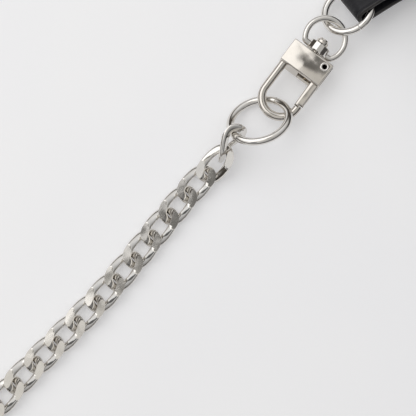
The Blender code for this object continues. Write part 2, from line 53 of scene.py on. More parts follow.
WALLET_LENGTH = 180.0
WALLET_WIDTH = 92.0
LEATHER = 1.6
BACK_THICKNESS = 1.8
CLOSED_HEIGHT = 16.6
CORNER_RADIUS = 9.0
SPINE_BEND = 3.4  # outer radius where the leather turns up into the spine
SPINE_BLEND = 5.0  # distance from the fold over which the leather should give; make_leather lists it, but no step bends the leather by it
SEAM_HEIGHT = 8.3  # where the back leather meets the cover leather, half way up the spine
SPINE_LINER = ((-86.0, 43.85, 2.6), (86.0, 44.35, 14.0))  # opposite corners
STITCH_INSET = 3.2
STITCH_PITCH = 3.1
FINE_PITCH = 2.8
STITCH_SINK = 0.20
THREAD_WIDTH = 0.55
SEAM_END_Y = 40.0
CREASE_INSET = 1.7
CELL = 6.0  # spacing of the cuts that let the leather bend

POCKET_LOW = 2.1
POCKET_HIGH = 8.4
POCKET_HALF_X = 86.0
POCKET_Y = (-44.0, 43.4)
NOTCH = (-72.0, 18.4, 31.6)  # x where it ends, y from and to
HOLLOW_LOW = 2.8
HOLLOW_HIGH = 7.2
CARD_SLOTS = 3
CARD_STEP = 13.0
CARD_HALF_X = 84.0
CARD_Y = (-29.0, 30.0)
CARD_LOW = 8.7
CARD_THICK = 1.0
CARD_RISE = 1.3
LINING_LOW = 13.0
LINING_HIGH = 13.8
LINING_HALF_X = 87.0
LINING_Y = (-43.0, 43.4)

ZIP_Y = 8.0
SLOT_HALF = (70.0, 4.5)
SLOT_CORNER = 2.0
TAPE_LOW, TAPE_HIGH = 14.1, 14.7
TAPE_HALF = 76.0
TAPE_REACH = (0.9, 12.0)  # from the zip's middle to a tape's edges
TAPE_CORD = (1.9, 0.4)  # from the zip's middle, radius
TOOTH_PITCH = 2.3
TOOTH_TOP = 15.82
STOP_HALF_Y = 2.15
TEETH_HALF = SLOT_HALF[0] - 1.6
SLIDER = (-58.0, ZIP_Y, TAPE_HIGH + 1.5)
SNAP_X, SNAP_Y = 60.0, -37.0
SNAP_GAP = 0.3
SHANK = 1.35

TAB_WIDTH = 11.2
TAB_LEATHER = 1.4
TAB_TAIL = 17.0
TAB_Y = 25.0
TAB_LOOP_GAP = 2.4
TAB_FLAT_Z = 3.65
TAB_TURN = (9.0, 1.0)  # it twists from this far past the fold to this far from the wallet
TAB_WAVE = 0.05
FOLD = Vector((-116.0, TAB_Y, 0.0))
RING_CENTRE = FOLD + Vector((-0.45, 0.0, 6.6))
RING_TILT = 26.8
RING_PITCH = 9.3

WALLET_RING = (7.6, 1.2)  # radius to the wire's centre, wire radius
WALLET_RING_CUT = (266.0, 0.16)  # where its ends meet, in degrees, and the gap between them
JUMP_RING = (9.25, 1.25)
JUMP_RING_CUTS = {"a": (35.0, 0.20), "b": (-80.0, 0.20)}
CUT_EASE = (0.06, 0.94)  # length and scale of a cut end's soft rim
SWIVEL_RING = (6.5, 1.0)
SWIVEL_RING_CENTRE = 9.5
SWIVEL_FLAT = 5.35
BODY_SIZE = (7.8, 14.8, 4.6)
BODY_SLOPE = 1.4
BODY_BEVEL = 0.34
HOOK_LEG = 5.95
HOOK_WIRE = 1.36
HOOK_BEND_X = -13.68
HOOK_TIP_X = -12.5
PIVOT = (1.9, -5.3)
KNUCKLE = 1.45
CAVITY_HALF = 1.45
GATE_HALF = 1.15
GATE_Y = (-7.4, -6.15, -4.55, -4.25)  # outer side, notch, nose and inner side
GATE_NOSE_X = (-12.15, -12.95)
HOOK_STEP_X = (-13.25, -12.0)
PIN_BORE = 1.2
PIN_RADIUS = 1.06
# faces of the eyelet nearer its axis than this get the painted shade of the deep pin bore
PAINTED_SHADE_BORE_RADIUS = 0.71
GATE_BORE = 1.16
POST_BORE = 1.15
POST_RADIUS = 1.0
SPRING = (1.32, 0.13, 2.0)  # coil radius, wire radius, turns
SPRING_Z = (0.5, 1.2)
BOSS_RADIUS = 3.5
BOSS_ENDS = (4.2, 7.2)
BOSS_CHAMFER = 0.25
BOSS_SIDES = 14

LINK_HALF_LENGTH = 5.85
LINK_HALF_WIDTH = 3.2
LINK_ROUNDNESS = 2.4
LINK_TWIST = 0.13
LINK_WIRE = (2.6, 1.75)  # across the wire, through it
LINK_CORNER = 0.72  # below 1 squares the wire's section
LINK_FLAT = 1.62
LINK_CUT = 0.03  # half of the angle between a cut link's ends
END_CUTS = (172.0, 8.0)  # degrees round the first and last links
PITCH = 8.8
FLAT_LINKS = 20
STRAIGHT_LINKS = 12
FIRST_FLAT = (-68.9, -21.6)
FIRST_HEADING = 197.0
SWAY = 3.4
SWAY_LINKS = 10.0
CURL = 13.0
CHAIN_REST_Z = 2.1
CLIMBING_LINK = (8.45, -0.6, 3.74, -1.0, 19.9, 0.0)
EDGE_LINK = (15.97, 0.48, 6.36, 8.6, 33.8, 71.0)
JUMP_RING_PLACE = (27.2, -1.83, 7.13, -26.5, 0.0, -38.6)
WALLET_CLASP = (50.9, -0.75, 5.76, 4.8, 3.4, 0.0)
WALLET_SWIVEL_ROLL = 14.9
BELT_CLASP = (48.7, -3.25, 4.1, 170.0, 7.9, 0.0)
BELT_SWIVEL_ROLL = -40.0

# ------------ small helpers


def turn(axis, degrees):
    return Matrix.Rotation(math.radians(degrees), 4, axis)


def move(x, y, z):
    return Matrix.Translation((x, y, z))


def placed(x, y, z, heading=0.0, climb=0.0, roll=0.0):
    return move(x, y, z) @ turn("Z", heading) @ turn("Y", -climb) @ turn("X", roll)


def smooth(value, low, high):
    t = min(max((value - low) / (high - low), 0.0), 1.0)
    return t * t * (3.0 - 2.0 * t)


def curved(value, power):
    return math.copysign(abs(value) ** power, value)


# ------------ materials


class Nodes:
    """The node tree of a material or the world, with short calls for the nodes used here."""

    def __init__(self, made, coordinates="Object"):
        made.use_nodes = True
        self.made = made
        self.tree = made.node_tree
        self.place = self.add("ShaderNodeTexCoord").outputs[coordinates]

    def add(self, kind, **values):
        node = self.tree.nodes.new(kind)
        for key, value in values.items():
            setattr(node, key, value)
        return node

    def link(self, output, socket):
        self.tree.links.new(output, socket)

    def feed(self, node, **inputs):
        for key, value in inputs.items():
            socket = node.inputs[key.replace("_", " ")]
            if isinstance(value, bpy.types.NodeSocket):
                self.link(value, socket)
            else:
                socket.default_value = value
        return node

    def stretched(self, scale, rotation=(0.0, 0.0, 0.0)):
        node = self.feed(self.add("ShaderNodeMapping"), Vector=self.place, Scale=scale, Rotation=rotation)
        return node.outputs[0]

    def noise(self, scale, detail=4.0, where=None, roughness=0.55):
        node = self.feed(self.add("ShaderNodeTexNoise"), Vector=where or self.place, Scale=scale,
                         Detail=detail, Roughness=roughness)
        return node.outputs["Fac"]

    def cells(self, scale, feature="F1", where=None):
        node = self.feed(self.add("ShaderNodeTexVoronoi", feature=feature), Vector=where or self.place,
                         Scale=scale)
        return node.outputs["Distance"]

    def wave(self, scale, direction, where=None, distortion=0.0):
        node = self.feed(self.add("ShaderNodeTexWave", bands_direction=direction),
                         Vector=where or self.place, Scale=scale, Distortion=distortion)
        return node.outputs["Fac"]

    def spread(self, value, low, high, from_low=0.0, from_high=1.0):
        node = self.feed(self.add("ShaderNodeMapRange"), Value=value, From_Min=from_low, From_Max=from_high,
                         To_Min=low, To_Max=high)
        return node.outputs[0]

    def maths(self, operation, a, b):
        node = self.add("ShaderNodeMath", operation=operation)
        for socket, value in zip(node.inputs, (a, b)):
            if isinstance(value, bpy.types.NodeSocket):
                self.link(value, socket)
            else:
                socket.default_value = value
        return node.outputs[0]

    def colours(self, value, *stops):
        node = self.add("ShaderNodeValToRGB")
        ramp = node.color_ramp
        while len(ramp.elements) < len(stops):
            ramp.elements.new(0.5)
        for element, (position, colour) in zip(ramp.elements, stops):
            element.position = position
            element.color = (*colour, 1.0)
        self.link(value, node.inputs["Fac"])
        return node.outputs["Color"]

    def bump(self, height, depth, strength=1.0, before=None):
        node = self.feed(self.add("ShaderNodeBump"), Strength=strength, Distance=depth, Height=height)
        if before:
            self.link(before, node.inputs["Normal"])
        return node.outputs["Normal"]

    def surface(self, **inputs):
        self.feed(self.tree.nodes["Principled BSDF"], **inputs)
        return self.made


def material(name):
    return Nodes(bpy.data.materials.new(name))


def nickel(name, light, dark, polish, ripple):
    """Plated metal: a slightly wavy cast surface, fine handling scratches, uneven polish."""
    m = material(name)
    patches = m.noise(260.0, 5.0)
    fine = m.noise(2600.0, 3.0)
    scratch = m.noise(620.0, 2.0, m.stretched((1.0, 22.0, 3.0), (0.3, 0.2, 0.9)))
    cross = m.noise(540.0, 2.0, m.stretched((22.0, 1.5, 3.0), (0.1, 0.4, 0.2)))
    lines = m.maths("MAXIMUM", m.spread(scratch, 0.0, 1.0, 0.64, 0.78),
                    m.spread(cross, 0.0, 1.0, 0.68, 0.80))
    rough = m.maths("ADD", m.spread(patches, polish * 0.6, polish * 1.5, 0.3, 0.7),
                    m.maths("MULTIPLY", lines, 0.05))
    normal = m.bump(m.noise(140.0, 1.0), ripple)
    normal = m.bump(fine, 0.000002, before=normal)
    normal = m.bump(lines, 0.000002, 0.6, before=normal)
    return m.surface(Base_Color=m.colours(patches, (0.3, dark), (0.7, light)), Metallic=1.0,
                     Roughness=rough, Normal=normal)


def leather(name, grain, shine, low, high):
    """Black leather: pebbled grain, pores, soft creases, worn lighter spots and scuffs."""
    m = material(name)
    warp = m.add("ShaderNodeMixRGB", blend_type="LINEAR_LIGHT")
    warp.inputs[0].default_value = 0.00035
    m.link(m.place, warp.inputs[1])
    soft = m.feed(m.add("ShaderNodeTexNoise"), Vector=m.place, Scale=700.0, Detail=3.0)
    m.link(soft.outputs["Color"], warp.inputs[2])
    pebbles = m.cells(grain, "SMOOTH_F1", warp.outputs[0])
    creases = m.noise(90.0, 5.0)
    pores = m.noise(grain * 3.0, 2.0)
    wear = m.noise(55.0, 6.0, roughness=0.7)
    scuff = m.noise(230.0, 3.0, m.stretched((1.0, 9.0, 1.0), (0.0, 0.0, 0.9)))
    scuffs = m.maths("MULTIPLY", m.spread(scuff, 0.0, 1.0, 0.66, 0.78),
                     m.spread(wear, 0.0, 1.0, 0.45, 0.65))
    tone = m.maths("ADD", m.maths("MULTIPLY", wear, 0.8), m.maths("MULTIPLY", scuffs, 0.5))
    rough = m.maths("ADD", m.spread(pores, shine - 0.07, shine + 0.08, 0.3, 0.7),
                    m.maths("MULTIPLY", scuffs, 0.12))
    normal = m.bump(creases, 0.0006, 0.8)
    normal = m.bump(pebbles, 0.00011, 0.8, before=normal)
    normal = m.bump(pores, 0.00002, 0.6, before=normal)
    return m.surface(Base_Color=m.colours(tone, (0.25, low), (0.75, high)), Roughness=rough,
                     Specular_IOR_Level=0.3, Normal=normal)


def edge_paint():
    """Burnished, dyed leather edge: smoother and shinier than the grain, with faint fibres."""
    m = material("leather_edge")
    fibres = m.noise(900.0, 4.0, m.stretched((0.25, 0.25, 2.0)))
    return m.surface(Roughness=m.spread(fibres, 0.28, 0.5), Normal=m.bump(fibres, 0.00008, 0.7),
                     Base_Color=m.colours(fibres, (0.3, (0.014, 0.013, 0.013)),
                                          (0.75, (0.040, 0.037, 0.035))))


def cloth(name, threads, low, high, slant=0.0):
    """Woven cloth: warp and weft threads crossing, with small slubs."""
    m = material(name)
    where = m.stretched((1.0, 1.0, 1.0), (0.0, 0.0, slant))
    warp = m.wave(threads, "X", where, 0.6)
    weft = m.wave(threads, "Y", where, 0.6)
    weave = m.maths("MAXIMUM", warp, weft)
    slub = m.noise(500.0, 3.0)
    tone = m.maths("ADD", m.maths("MULTIPLY", weave, 0.6), m.maths("MULTIPLY", slub, 0.4))
    return m.surface(Base_Color=m.colours(tone, (0.3, low), (0.9, high)), Sheen_Weight=0.3,
                     Sheen_Roughness=0.5, Roughness=m.spread(slub, 0.75, 0.95),
                     Normal=m.bump(tone, 0.00012, 0.8))


def thread_material():
    """Waxed polyester thread, twisted."""
    m = material("waxed_thread")
    ply = m.wave(900.0, "DIAGONAL", distortion=0.4)
    return m.surface(Roughness=m.spread(ply, 0.4, 0.6), Normal=m.bump(ply, 0.00006, 0.8),
                     Base_Color=m.colours(ply, (0.2, (0.030, 0.030, 0.033)), (0.8, (0.085, 0.085, 0.090))))


NICKEL = nickel("nickel_plate", (0.80, 0.78, 0.745), (0.74, 0.715, 0.68), 0.07, 0.0001)
CAST_NICKEL = nickel("nickel_cast", (0.72, 0.685, 0.64), (0.665, 0.63, 0.58), 0.10, 0.0003)
STEEL = nickel("spring_wire", (0.52, 0.52, 0.53), (0.38, 0.38, 0.39), 0.3, 0.0)
# near-black metal for the eyelet's pin bore: painted shade where the deep hole falls dark, not a finish of
# its own
PAINTED_SHADE_BORE = nickel("painted_shade_bore", (0.030, 0.027, 0.024), (0.012, 0.011, 0.010), 0.5, 0.0)
BLACK = leather("black_leather", 1500.0, 0.42, (0.008, 0.008, 0.010), (0.026, 0.026, 0.031))
SOFT_BLACK = leather("inner_leather", 1900.0, 0.47, (0.020, 0.020, 0.022), (0.046, 0.046, 0.050))
EDGE = edge_paint()
LINING = cloth("lining_weave", 420.0, (0.012, 0.012, 0.015), (0.045, 0.045, 0.052))
TAPE = cloth("zip_tape_weave", 360.0, (0.010, 0.010, 0.011), (0.040, 0.040, 0.043), 0.6)
THREAD = thread_material()

# ------------ making pieces


def build(name, bm, materials, matrix=None, sharp=38.0, merge=True):
    """An object from bm, which is in millimetres in the frame that matrix places."""
    if merge:
        bmesh.ops.remove_doubles(bm, verts=bm.verts, dist=1e-4)
    bmesh.ops.transform(bm, matrix=Matrix.Scale(MM, 4) @ (matrix or Matrix()), verts=bm.verts)
    mesh = bpy.data.meshes.new(name)
    bm.to_mesh(mesh)
    bm.free()
    for look in materials:
        mesh.materials.append(look)
    mesh.shade_smooth()
    mesh.set_sharp_from_angle(angle=math.radians(sharp))
    piece = bpy.data.objects.new(name, mesh)
    bpy.context.scene.collection.objects.link(piece)
    return piece


def boolean(piece, operation, *others, sharp=38.0):
    """Applies Boolean operations at once, so only the final mesh stays."""
    for other in others:
        modifier = piece.modifiers.new("change", "BOOLEAN")
        modifier.operation = operation
        modifier.solver = "EXACT"
        modifier.object = other
    bpy.context.view_layer.update()
    result = bpy.data.meshes.new_from_object(piece.evaluated_get(bpy.context.evaluated_depsgraph_get()))
    piece.modifiers.clear()
    piece.data = result
    result.shade_smooth()
    result.set_sharp_from_angle(angle=math.radians(sharp))
    return piece


def discard(*pieces):
    for piece in pieces:
        bpy.data.objects.remove(piece)


def stands(piece, body, slot, *nodes):
    """The piece rides on a body and stands for CAD nodes, which are hidden; the slot is not used."""
    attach(piece, body)
    if nodes:
        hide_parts(*nodes)
    return piece


def recalc(bm):
    bmesh.ops.recalc_face_normals(bm, faces=bm.faces)
    return bm


def skin(bm, rows, closed=False, material_of=None):
    """Faces between neighbouring rows of verts, each row a closed loop."""
    pairs = list(zip(rows, rows[1:]))
    if closed:
        pairs.append((rows[-1], rows[0]))
    for n, (low, high) in enumerate(pairs):
        for j in range(len(low)):
            k = (j + 1) % len(low)
            face = bm.faces.new((low[j], low[k], high[k], high[j]))
            if material_of:
                face.material_index = material_of(n)


def cap(bm, rows):
    return [bm.faces.new(rows[0]), bm.faces.new(rows[-1][::-1])]


def rings_mesh(loops, capped=True, material_of=None):
    """Joins loops of equal count into a skin. It is capped at both ends, or closed on itself."""
    bm = bmesh.new()
    rows = [[bm.verts.new(p) for p in loop] for loop in loops]
    skin(bm, rows, not capped, material_of)
    if capped:
        cap(bm, rows)
    return recalc(bm)


def sweep(path, ups, sections, closed):
    """Carries a section, (across, up) points for each path point, along a path."""
    bm = bmesh.new()
    rings = []
    count = len(path)
    for i, (point, up, section) in enumerate(zip(path, ups, sections)):
        before = path[i - 1] if closed or i else point
        after = path[(i + 1) % count] if closed or i < count - 1 else point
        ahead = (after - before).normalized()
        across = ahead.cross(up).normalized()
        over = across.cross(ahead)
        rings.append([bm.verts.new(point + across * a + over * u) for a, u in section])
    skin(bm, rings, closed)
    if not closed:
        cap(bm, rings)
    return recalc(bm)


def gather(bm, *parts):
    """Adds the parts' meshes to bm."""
    for part in parts:
        held = bpy.data.meshes.new("held")
        part.to_mesh(held)
        part.free()
        bm.from_mesh(held)
        bpy.data.meshes.remove(held)


def arc(radius, start, end, steps, cx=0.0, cy=0.0):
    """Points of an arc, angles in degrees, both ends included."""
    angles = [math.radians(start + (end - start) * i / steps) for i in range(steps + 1)]
    return [(cx + radius * math.cos(a), cy + radius * math.sin(a)) for a in angles]


def circle(radius, sides):
    angles = [math.tau * (i + 0.5) / sides for i in range(sides)]
    return [(radius * math.cos(a), radius * math.sin(a)) for a in angles]


def tube(path, radius, closed=False, sides=20):
    return sweep(path, [UP] * len(path), [circle(radius, sides)] * len(path), closed)


def turned(profile, steps=48, closed=False):
    """A solid of revolution about Z: profile is (radius, height), open ends on the axis."""
    bm = bmesh.new()
    verts = [bm.verts.new((r, 0.0, z)) for r, z in profile]
    edges = [bm.edges.new(pair) for pair in zip(verts, verts[1:])]
    if closed:
        edges.append(bm.edges.new((verts[-1], verts[0])))
    bmesh.ops.spin(bm, geom=verts + edges, cent=(0, 0, 0), axis=(0, 0, 1), angle=math.tau, steps=steps,
                   use_merge=True)
    bmesh.ops.remove_doubles(bm, verts=bm.verts, dist=1e-4)
    return recalc(bm)


def softened(profile, size=0.12, keep=()):
    """The profile with each inner corner replaced by a small two-step round."""
    out = []
    last = len(profile) - 1
    for i, point in enumerate(profile):
        here = Vector(point)
        if i in (0, last) or i in keep:
            out.append(tuple(here))
            continue
        before, after = Vector(profile[i - 1]), Vector(profile[i + 1])
        a = min(size, (before - here).length * 0.45)
        b = min(size, (after - here).length * 0.45)
        start = here + (before - here).normalized() * a
        end = here + (after - here).normalized() * b
        out += [tuple(start), tuple((start + end) * 0.25 + here * 0.5), tuple(end)]
    return out


def rounded(x_low, x_high, y_low, y_high, radii, steps=8):
    """A rectangle's outline with radii at its corners, from -X -Y round to -X +Y."""
    corners = ((x_low, y_low, 180), (x_high, y_low, 270), (x_high, y_high, 0), (x_low, y_high, 90))
    outline = []
    for (x, y, start), radius in zip(corners, radii):
        radius = max(radius, 0.02)
        cx = x + radius if x == x_low else x - radius
        cy = y + radius if y == y_low else y - radius
        outline += arc(radius, start, start + 90, steps, cx, cy)
    return outline


def box_mesh(low, high, bevel=0.0, segments=2):
    bm = bmesh.new()
    size = [h - l for l, h in zip(low, high)]
    middle = [(h + l) / 2 for l, h in zip(low, high)]
    bmesh.ops.create_cube(bm, size=1.0, matrix=move(*middle) @ Matrix.Diagonal((*size, 1.0)))
    if bevel:
        bmesh.ops.bevel(bm, geom=bm.edges[:], offset=bevel, segments=segments, affect="EDGES", profile=0.5)
    return recalc(bm)


def slab(outline, low, high, bevel=0.0, segments=2):
    bm = bmesh.new()
    face = bm.faces.new([bm.verts.new((x, y, low)) for x, y in outline])
    grown = bmesh.ops.extrude_face_region(bm, geom=[face])["geom"]
    tops = [v for v in grown if isinstance(v, bmesh.types.BMVert)]
    bmesh.ops.translate(bm, vec=(0.0, 0.0, high - low), verts=tops)
    recalc(bm)
    if bevel:
        rims = [e for e in bm.edges if abs(e.verts[0].co.z - e.verts[1].co.z) < 1e-6]
        bmesh.ops.bevel(bm, geom=rims, offset=bevel, segments=segments, affect="EDGES", profile=0.5)
    return bm


# ------------ camera, floor and light

IMAGE_HEADING = 31.2  # from +Y toward +X, in degrees: where the view's upper edge points
LOOK_AT = Vector((-185.85, -5.1, 3.0)) * MM
CAMERA_TILT = 7.0  # from straight above, toward the view's lower edge
CAMERA_DISTANCE = 0.452
LENS = 126.1
IMAGE_UP = Vector((math.sin(math.radians(IMAGE_HEADING)), math.cos(math.radians(IMAGE_HEADING)), 0.0))
IMAGE_RIGHT = IMAGE_UP.cross(UP)

FLOOR_HALF = 3000.0
FLOOR_Z = -0.05
FLOOR_GLOW = 0.25

ROOM_LEVEL = 0.66
ROOM_BY_HEIGHT = (  # colour from straight down to straight up
    (0.0, (0.60, 0.60, 0.60)), (0.49, (0.35, 0.33, 0.31)), (0.51, (0.09, 0.08, 0.07)),
    (0.60, (0.09, 0.08, 0.07)), (0.71, (0.84, 0.83, 0.82)), (0.86, (1.04, 1.05, 1.07)),
    (1.0, (0.96, 0.94, 0.90)),
)
BACKDROP = (0.74, 0.74, 0.745)
LIGHT_SIDE = UP * 0.25 - IMAGE_RIGHT * 0.75 + IMAGE_UP * 0.65
SIDE_LEVELS = (0.45, 1.45)  # away from the light side, toward it
DARK_PATCH = UP + IMAGE_UP * 0.15 + IMAGE_RIGHT * 0.03
DARK_SHAPE = UP * 0.70 - IMAGE_UP * 0.52 - IMAGE_RIGHT * 0.48
PATCH_EDGE = (10.0, 4.0, 0.25)  # degrees off its middle where it starts and is full, and its level
SHAPE_EDGE = (12.0, 9.0, 0.16)

KEY_PLACE = LOOK_AT + LIGHT_SIDE * 0.26 + UP * 0.28
KEY_SIZE = 0.5
KEY_POWER = 0.34


def make_camera():
    lens = bpy.data.cameras.new("camera")
    lens.lens = LENS
    lens.clip_start, lens.clip_end = 0.01, 20.0
    camera = bpy.data.objects.new("camera", lens)
    bpy.context.scene.collection.objects.link(camera)
    tilt = math.radians(CAMERA_TILT)
    back = UP * math.cos(tilt) - IMAGE_UP * math.sin(tilt)
    place = Matrix((IMAGE_RIGHT, back.cross(IMAGE_RIGHT), back)).transposed().to_4x4()
    place.translation = LOOK_AT + back * CAMERA_DISTANCE
    camera.matrix_world = place
    bpy.context.scene.camera = camera


def make_floor():
    m = material("floor")
    cloudy = m.noise(9.0, 3.0)
    specks = m.noise(700.0, 2.0)
    m.surface(Base_Color=m.colours(cloudy, (0.35, (0.79, 0.79, 0.80)), (0.7, (0.82, 0.818, 0.815))),
              Emission_Color=(0.98, 0.98, 1.0, 1.0), Emission_Strength=FLOOR_GLOW,
              Roughness=m.spread(specks, 0.5, 0.6), Normal=m.bump(specks, 0.00002, 0.3))
    bm = bmesh.new()
    bmesh.ops.create_grid(bm, x_segments=4, y_segments=4, size=1.0)
    bmesh.ops.scale(bm, vec=(FLOOR_HALF, FLOOR_HALF, 1.0), verts=bm.verts)
    build("floor", bm, [m.made], move(-110.0, -50.0, FLOOR_Z))


def make_world():
    """A soft room: bright ceiling and walls, dark low down, dimmer to the right, a dark patch overhead."""
    bpy.context.scene.world = bpy.data.worlds.new("studio")
    room = Nodes(bpy.context.scene.world, "Generated")
    background = room.tree.nodes["Background"]

    def toward(direction, from_low, from_high, low, high):
        dot = room.add("ShaderNodeVectorMath", operation="DOT_PRODUCT")
        dot.inputs[1].default_value = direction.normalized()
        room.link(room.place, dot.inputs[0])
        spread = room.add("ShaderNodeMapRange", interpolation_type="SMOOTHSTEP")
        room.feed(spread, Value=dot.outputs["Value"], From_Min=from_low, From_Max=from_high, To_Min=low,
                  To_Max=high)
        return spread.outputs[0]

    def dark_spot(direction, start, full, level):
        return toward(direction, math.cos(math.radians(start)), math.cos(math.radians(full)), 1.0, level)

    height = room.feed(room.add("ShaderNodeSeparateXYZ"), Vector=room.place).outputs["Z"]
    room.link(room.colours(room.spread(height, 0.0, 1.0, -1.0, 1.0), *ROOM_BY_HEIGHT),
              background.inputs["Color"])
    level = toward(LIGHT_SIDE, -0.9, 0.9, *SIDE_LEVELS)
    for factor in (dark_spot(DARK_PATCH, *PATCH_EDGE), dark_spot(DARK_SHAPE, *SHAPE_EDGE), ROOM_LEVEL):
        level = room.maths("MULTIPLY", level, factor)
    room.link(level, background.inputs["Strength"])

    backdrop = room.feed(room.add("ShaderNodeBackground"), Color=(*BACKDROP, 1.0))
    seen = room.add("ShaderNodeMixShader")
    for socket, output in zip(seen.inputs, (room.add("ShaderNodeLightPath").outputs["Is Camera Ray"],
                                            background.outputs[0], backdrop.outputs[0])):
        room.link(output, socket)
    room.link(seen.outputs[0], room.tree.nodes["World Output"].inputs["Surface"])


def make_key():
    lamp = bpy.data.lights.new("key", "AREA")
    lamp.shape = "DISK"
    lamp.size = KEY_SIZE
    lamp.energy = KEY_POWER
    lamp.color = (1.0, 0.995, 1.0)
    key = bpy.data.objects.new("key", lamp)
    bpy.context.scene.collection.objects.link(key)
    key.location = KEY_PLACE
    key.rotation_euler = (LOOK_AT - KEY_PLACE).to_track_quat("-Z", "Y").to_euler()


# ------------ rings and chain


def split_ring(name, size, cut, matrix, around=120, sides=24):
    """A wire ring bent round until its two cut ends meet."""
    radius, wire = size
    half_gap = math.degrees(cut[1] / radius / 2)
    ease, end_scale = CUT_EASE
    path = [Vector((x, y, 0.0)) for x, y in arc(radius, cut[0] + half_gap, cut[0] + 360 - half_gap, around)]
    ease = min(ease / (math.tau * radius / around), 0.5)
    path.insert(1, path[0].lerp(path[1], ease))
    path.insert(-1, path[-1].lerp(path[-2], ease))
    scales = [end_scale, *[1.0] * (len(path) - 2), end_scale]
    sections = [[(a * scale, u * scale) for a, u in circle(wire, sides)] for scale in scales]
    return build(name, sweep(path, [UP] * len(path), sections, False), [NICKEL], matrix, 45.0)


def link_shape(cut=None, around=72, sides=20):
    """A curb link: a twisted oval, pressed flat on both faces, and cut at an angle if it's an end link."""
    across, through = LINK_WIRE[0] / 2, LINK_WIRE[1] / 2 * 1.04
    section = [(across * curved(c, LINK_CORNER), through * curved(s, LINK_CORNER))
               for c, s in circle(1.0, sides)]
    path, ups = [], []
    if cut is None:
        angles = [math.tau * (i + 0.5) / around for i in range(around)]
    else:
        angles = [math.radians(cut) + LINK_CUT + (math.tau - 2 * LINK_CUT) * i / around
                  for i in range(around + 1)]
    for a in angles:
        x = LINK_HALF_LENGTH * curved(math.cos(a), 2 / LINK_ROUNDNESS)
        y = LINK_HALF_WIDTH * curved(math.sin(a), 2 / LINK_ROUNDNESS)
        path.append(Vector((x, y, -LINK_TWIST * x * y)))
        ups.append(Vector((LINK_TWIST * y, LINK_TWIST * x, 1.0)))
    bm = sweep(path, ups, [section] * len(path), cut is None)
    for side in (1, -1):
        bmesh.ops.bisect_plane(bm, geom=bm.verts[:] + bm.edges[:] + bm.faces[:], dist=1e-5,
                               plane_co=(0, 0, side * LINK_FLAT), plane_no=(0, 0, side))
    for vert in bm.verts:
        vert.co.z = min(max(vert.co.z, -LINK_FLAT), LINK_FLAT)
    return bm


def flat_frames():
    """One frame for each flat link, x away from the wallet's clasp: straight, then curling."""
    frames = []
    place = FOLD + Vector((*FIRST_FLAT, CHAIN_REST_Z))
    half = Vector((PITCH / 2, 0.0, 0.0))
    for i in range(FLAT_LINKS):
        along = min(i, STRAIGHT_LINKS - 1)
        sway = SWAY * math.sin(math.tau * along / SWAY_LINKS)
        heading = FIRST_HEADING + sway + CURL * (i - along)
        if frames:
            place = place + turn("Z", heading) @ half
        frames.append(placed(*place, heading))
        place = place + turn("Z", heading) @ half
    return frames


def make_chain():
    flat = flat_frames()
    on_floor = move(0.0, 0.0, -CHAIN_REST_Z)
    wallet_end = flat[0] @ turn("Z", 180) @ on_floor
    belt_end = flat[-1] @ on_floor
    frames = [wallet_end @ placed(*EDGE_LINK) @ turn("Z", 180),
              wallet_end @ placed(*CLIMBING_LINK) @ turn("Z", 180),
              *flat,
              belt_end @ placed(*CLIMBING_LINK),
              belt_end @ placed(*EDGE_LINK)]
    for i, place in enumerate(frames):
        node = f"link_{i + 1:02d}"
        cut = {0: END_CUTS[0], len(frames) - 1: END_CUTS[1]}.get(i)
        piece = build(f"curb_{node}", link_shape(cut), [NICKEL], place, 30.0)
        stands(piece, node, "nickel", node)
    for tag, end, place, roll in (("a", wallet_end, WALLET_CLASP, WALLET_SWIVEL_ROLL),
                                  ("b", belt_end, BELT_CLASP, BELT_SWIVEL_ROLL)):
        node = f"jump_ring_{tag}"
        ring = split_ring(f"split_{node}", JUMP_RING, JUMP_RING_CUTS[tag], end @ placed(*JUMP_RING_PLACE))
        stands(ring, node, "nickel", node)
        clasp = end @ placed(*place)
        make_clasp(tag, clasp)
        make_swivel_ring(tag, clasp @ turn("X", roll))


# ------------ swivel clasp


def hook_section():
    """Eight soft facets, as a die-cast hook has."""
    corners = [Vector(point) for point in circle(HOOK_WIRE * 1.03, 8)]
    points = []
    for start, end in zip(corners, corners[1:] + corners[:1]):
        for share in (0.12, 0.5, 0.88):
            bulge = 1.0 + 0.02 * (1 - abs(2 * share - 1))
            points.append(tuple(start.lerp(end, share) * bulge))
    return points


def hook_path(steps=36):
    bend = arc(HOOK_LEG, 90, 270, steps, HOOK_BEND_X)
    return [Vector((x, y, 0.0)) for x, y in
            [(-2.0, HOOK_LEG), (-7.0, HOOK_LEG), *bend, (HOOK_TIP_X, -HOOK_LEG)]]


def drill(radius, low, high):
    """A round cutter along Z."""
    return turned([(0, low), (radius, low), (radius, high), (0, high)], 32)


def carve(piece, place, *meshes, look=CAST_NICKEL, sharp=30.0):
    """Cuts each mesh out of the piece."""
    cutters = [build("cutter", bm, [look], place) for bm in meshes]
    boolean(piece, "DIFFERENCE", *cutters, sharp=sharp)
    discard(*cutters)


def moved(bm, matrix):
    bmesh.ops.transform(bm, matrix=matrix, verts=bm.verts)
    return bm


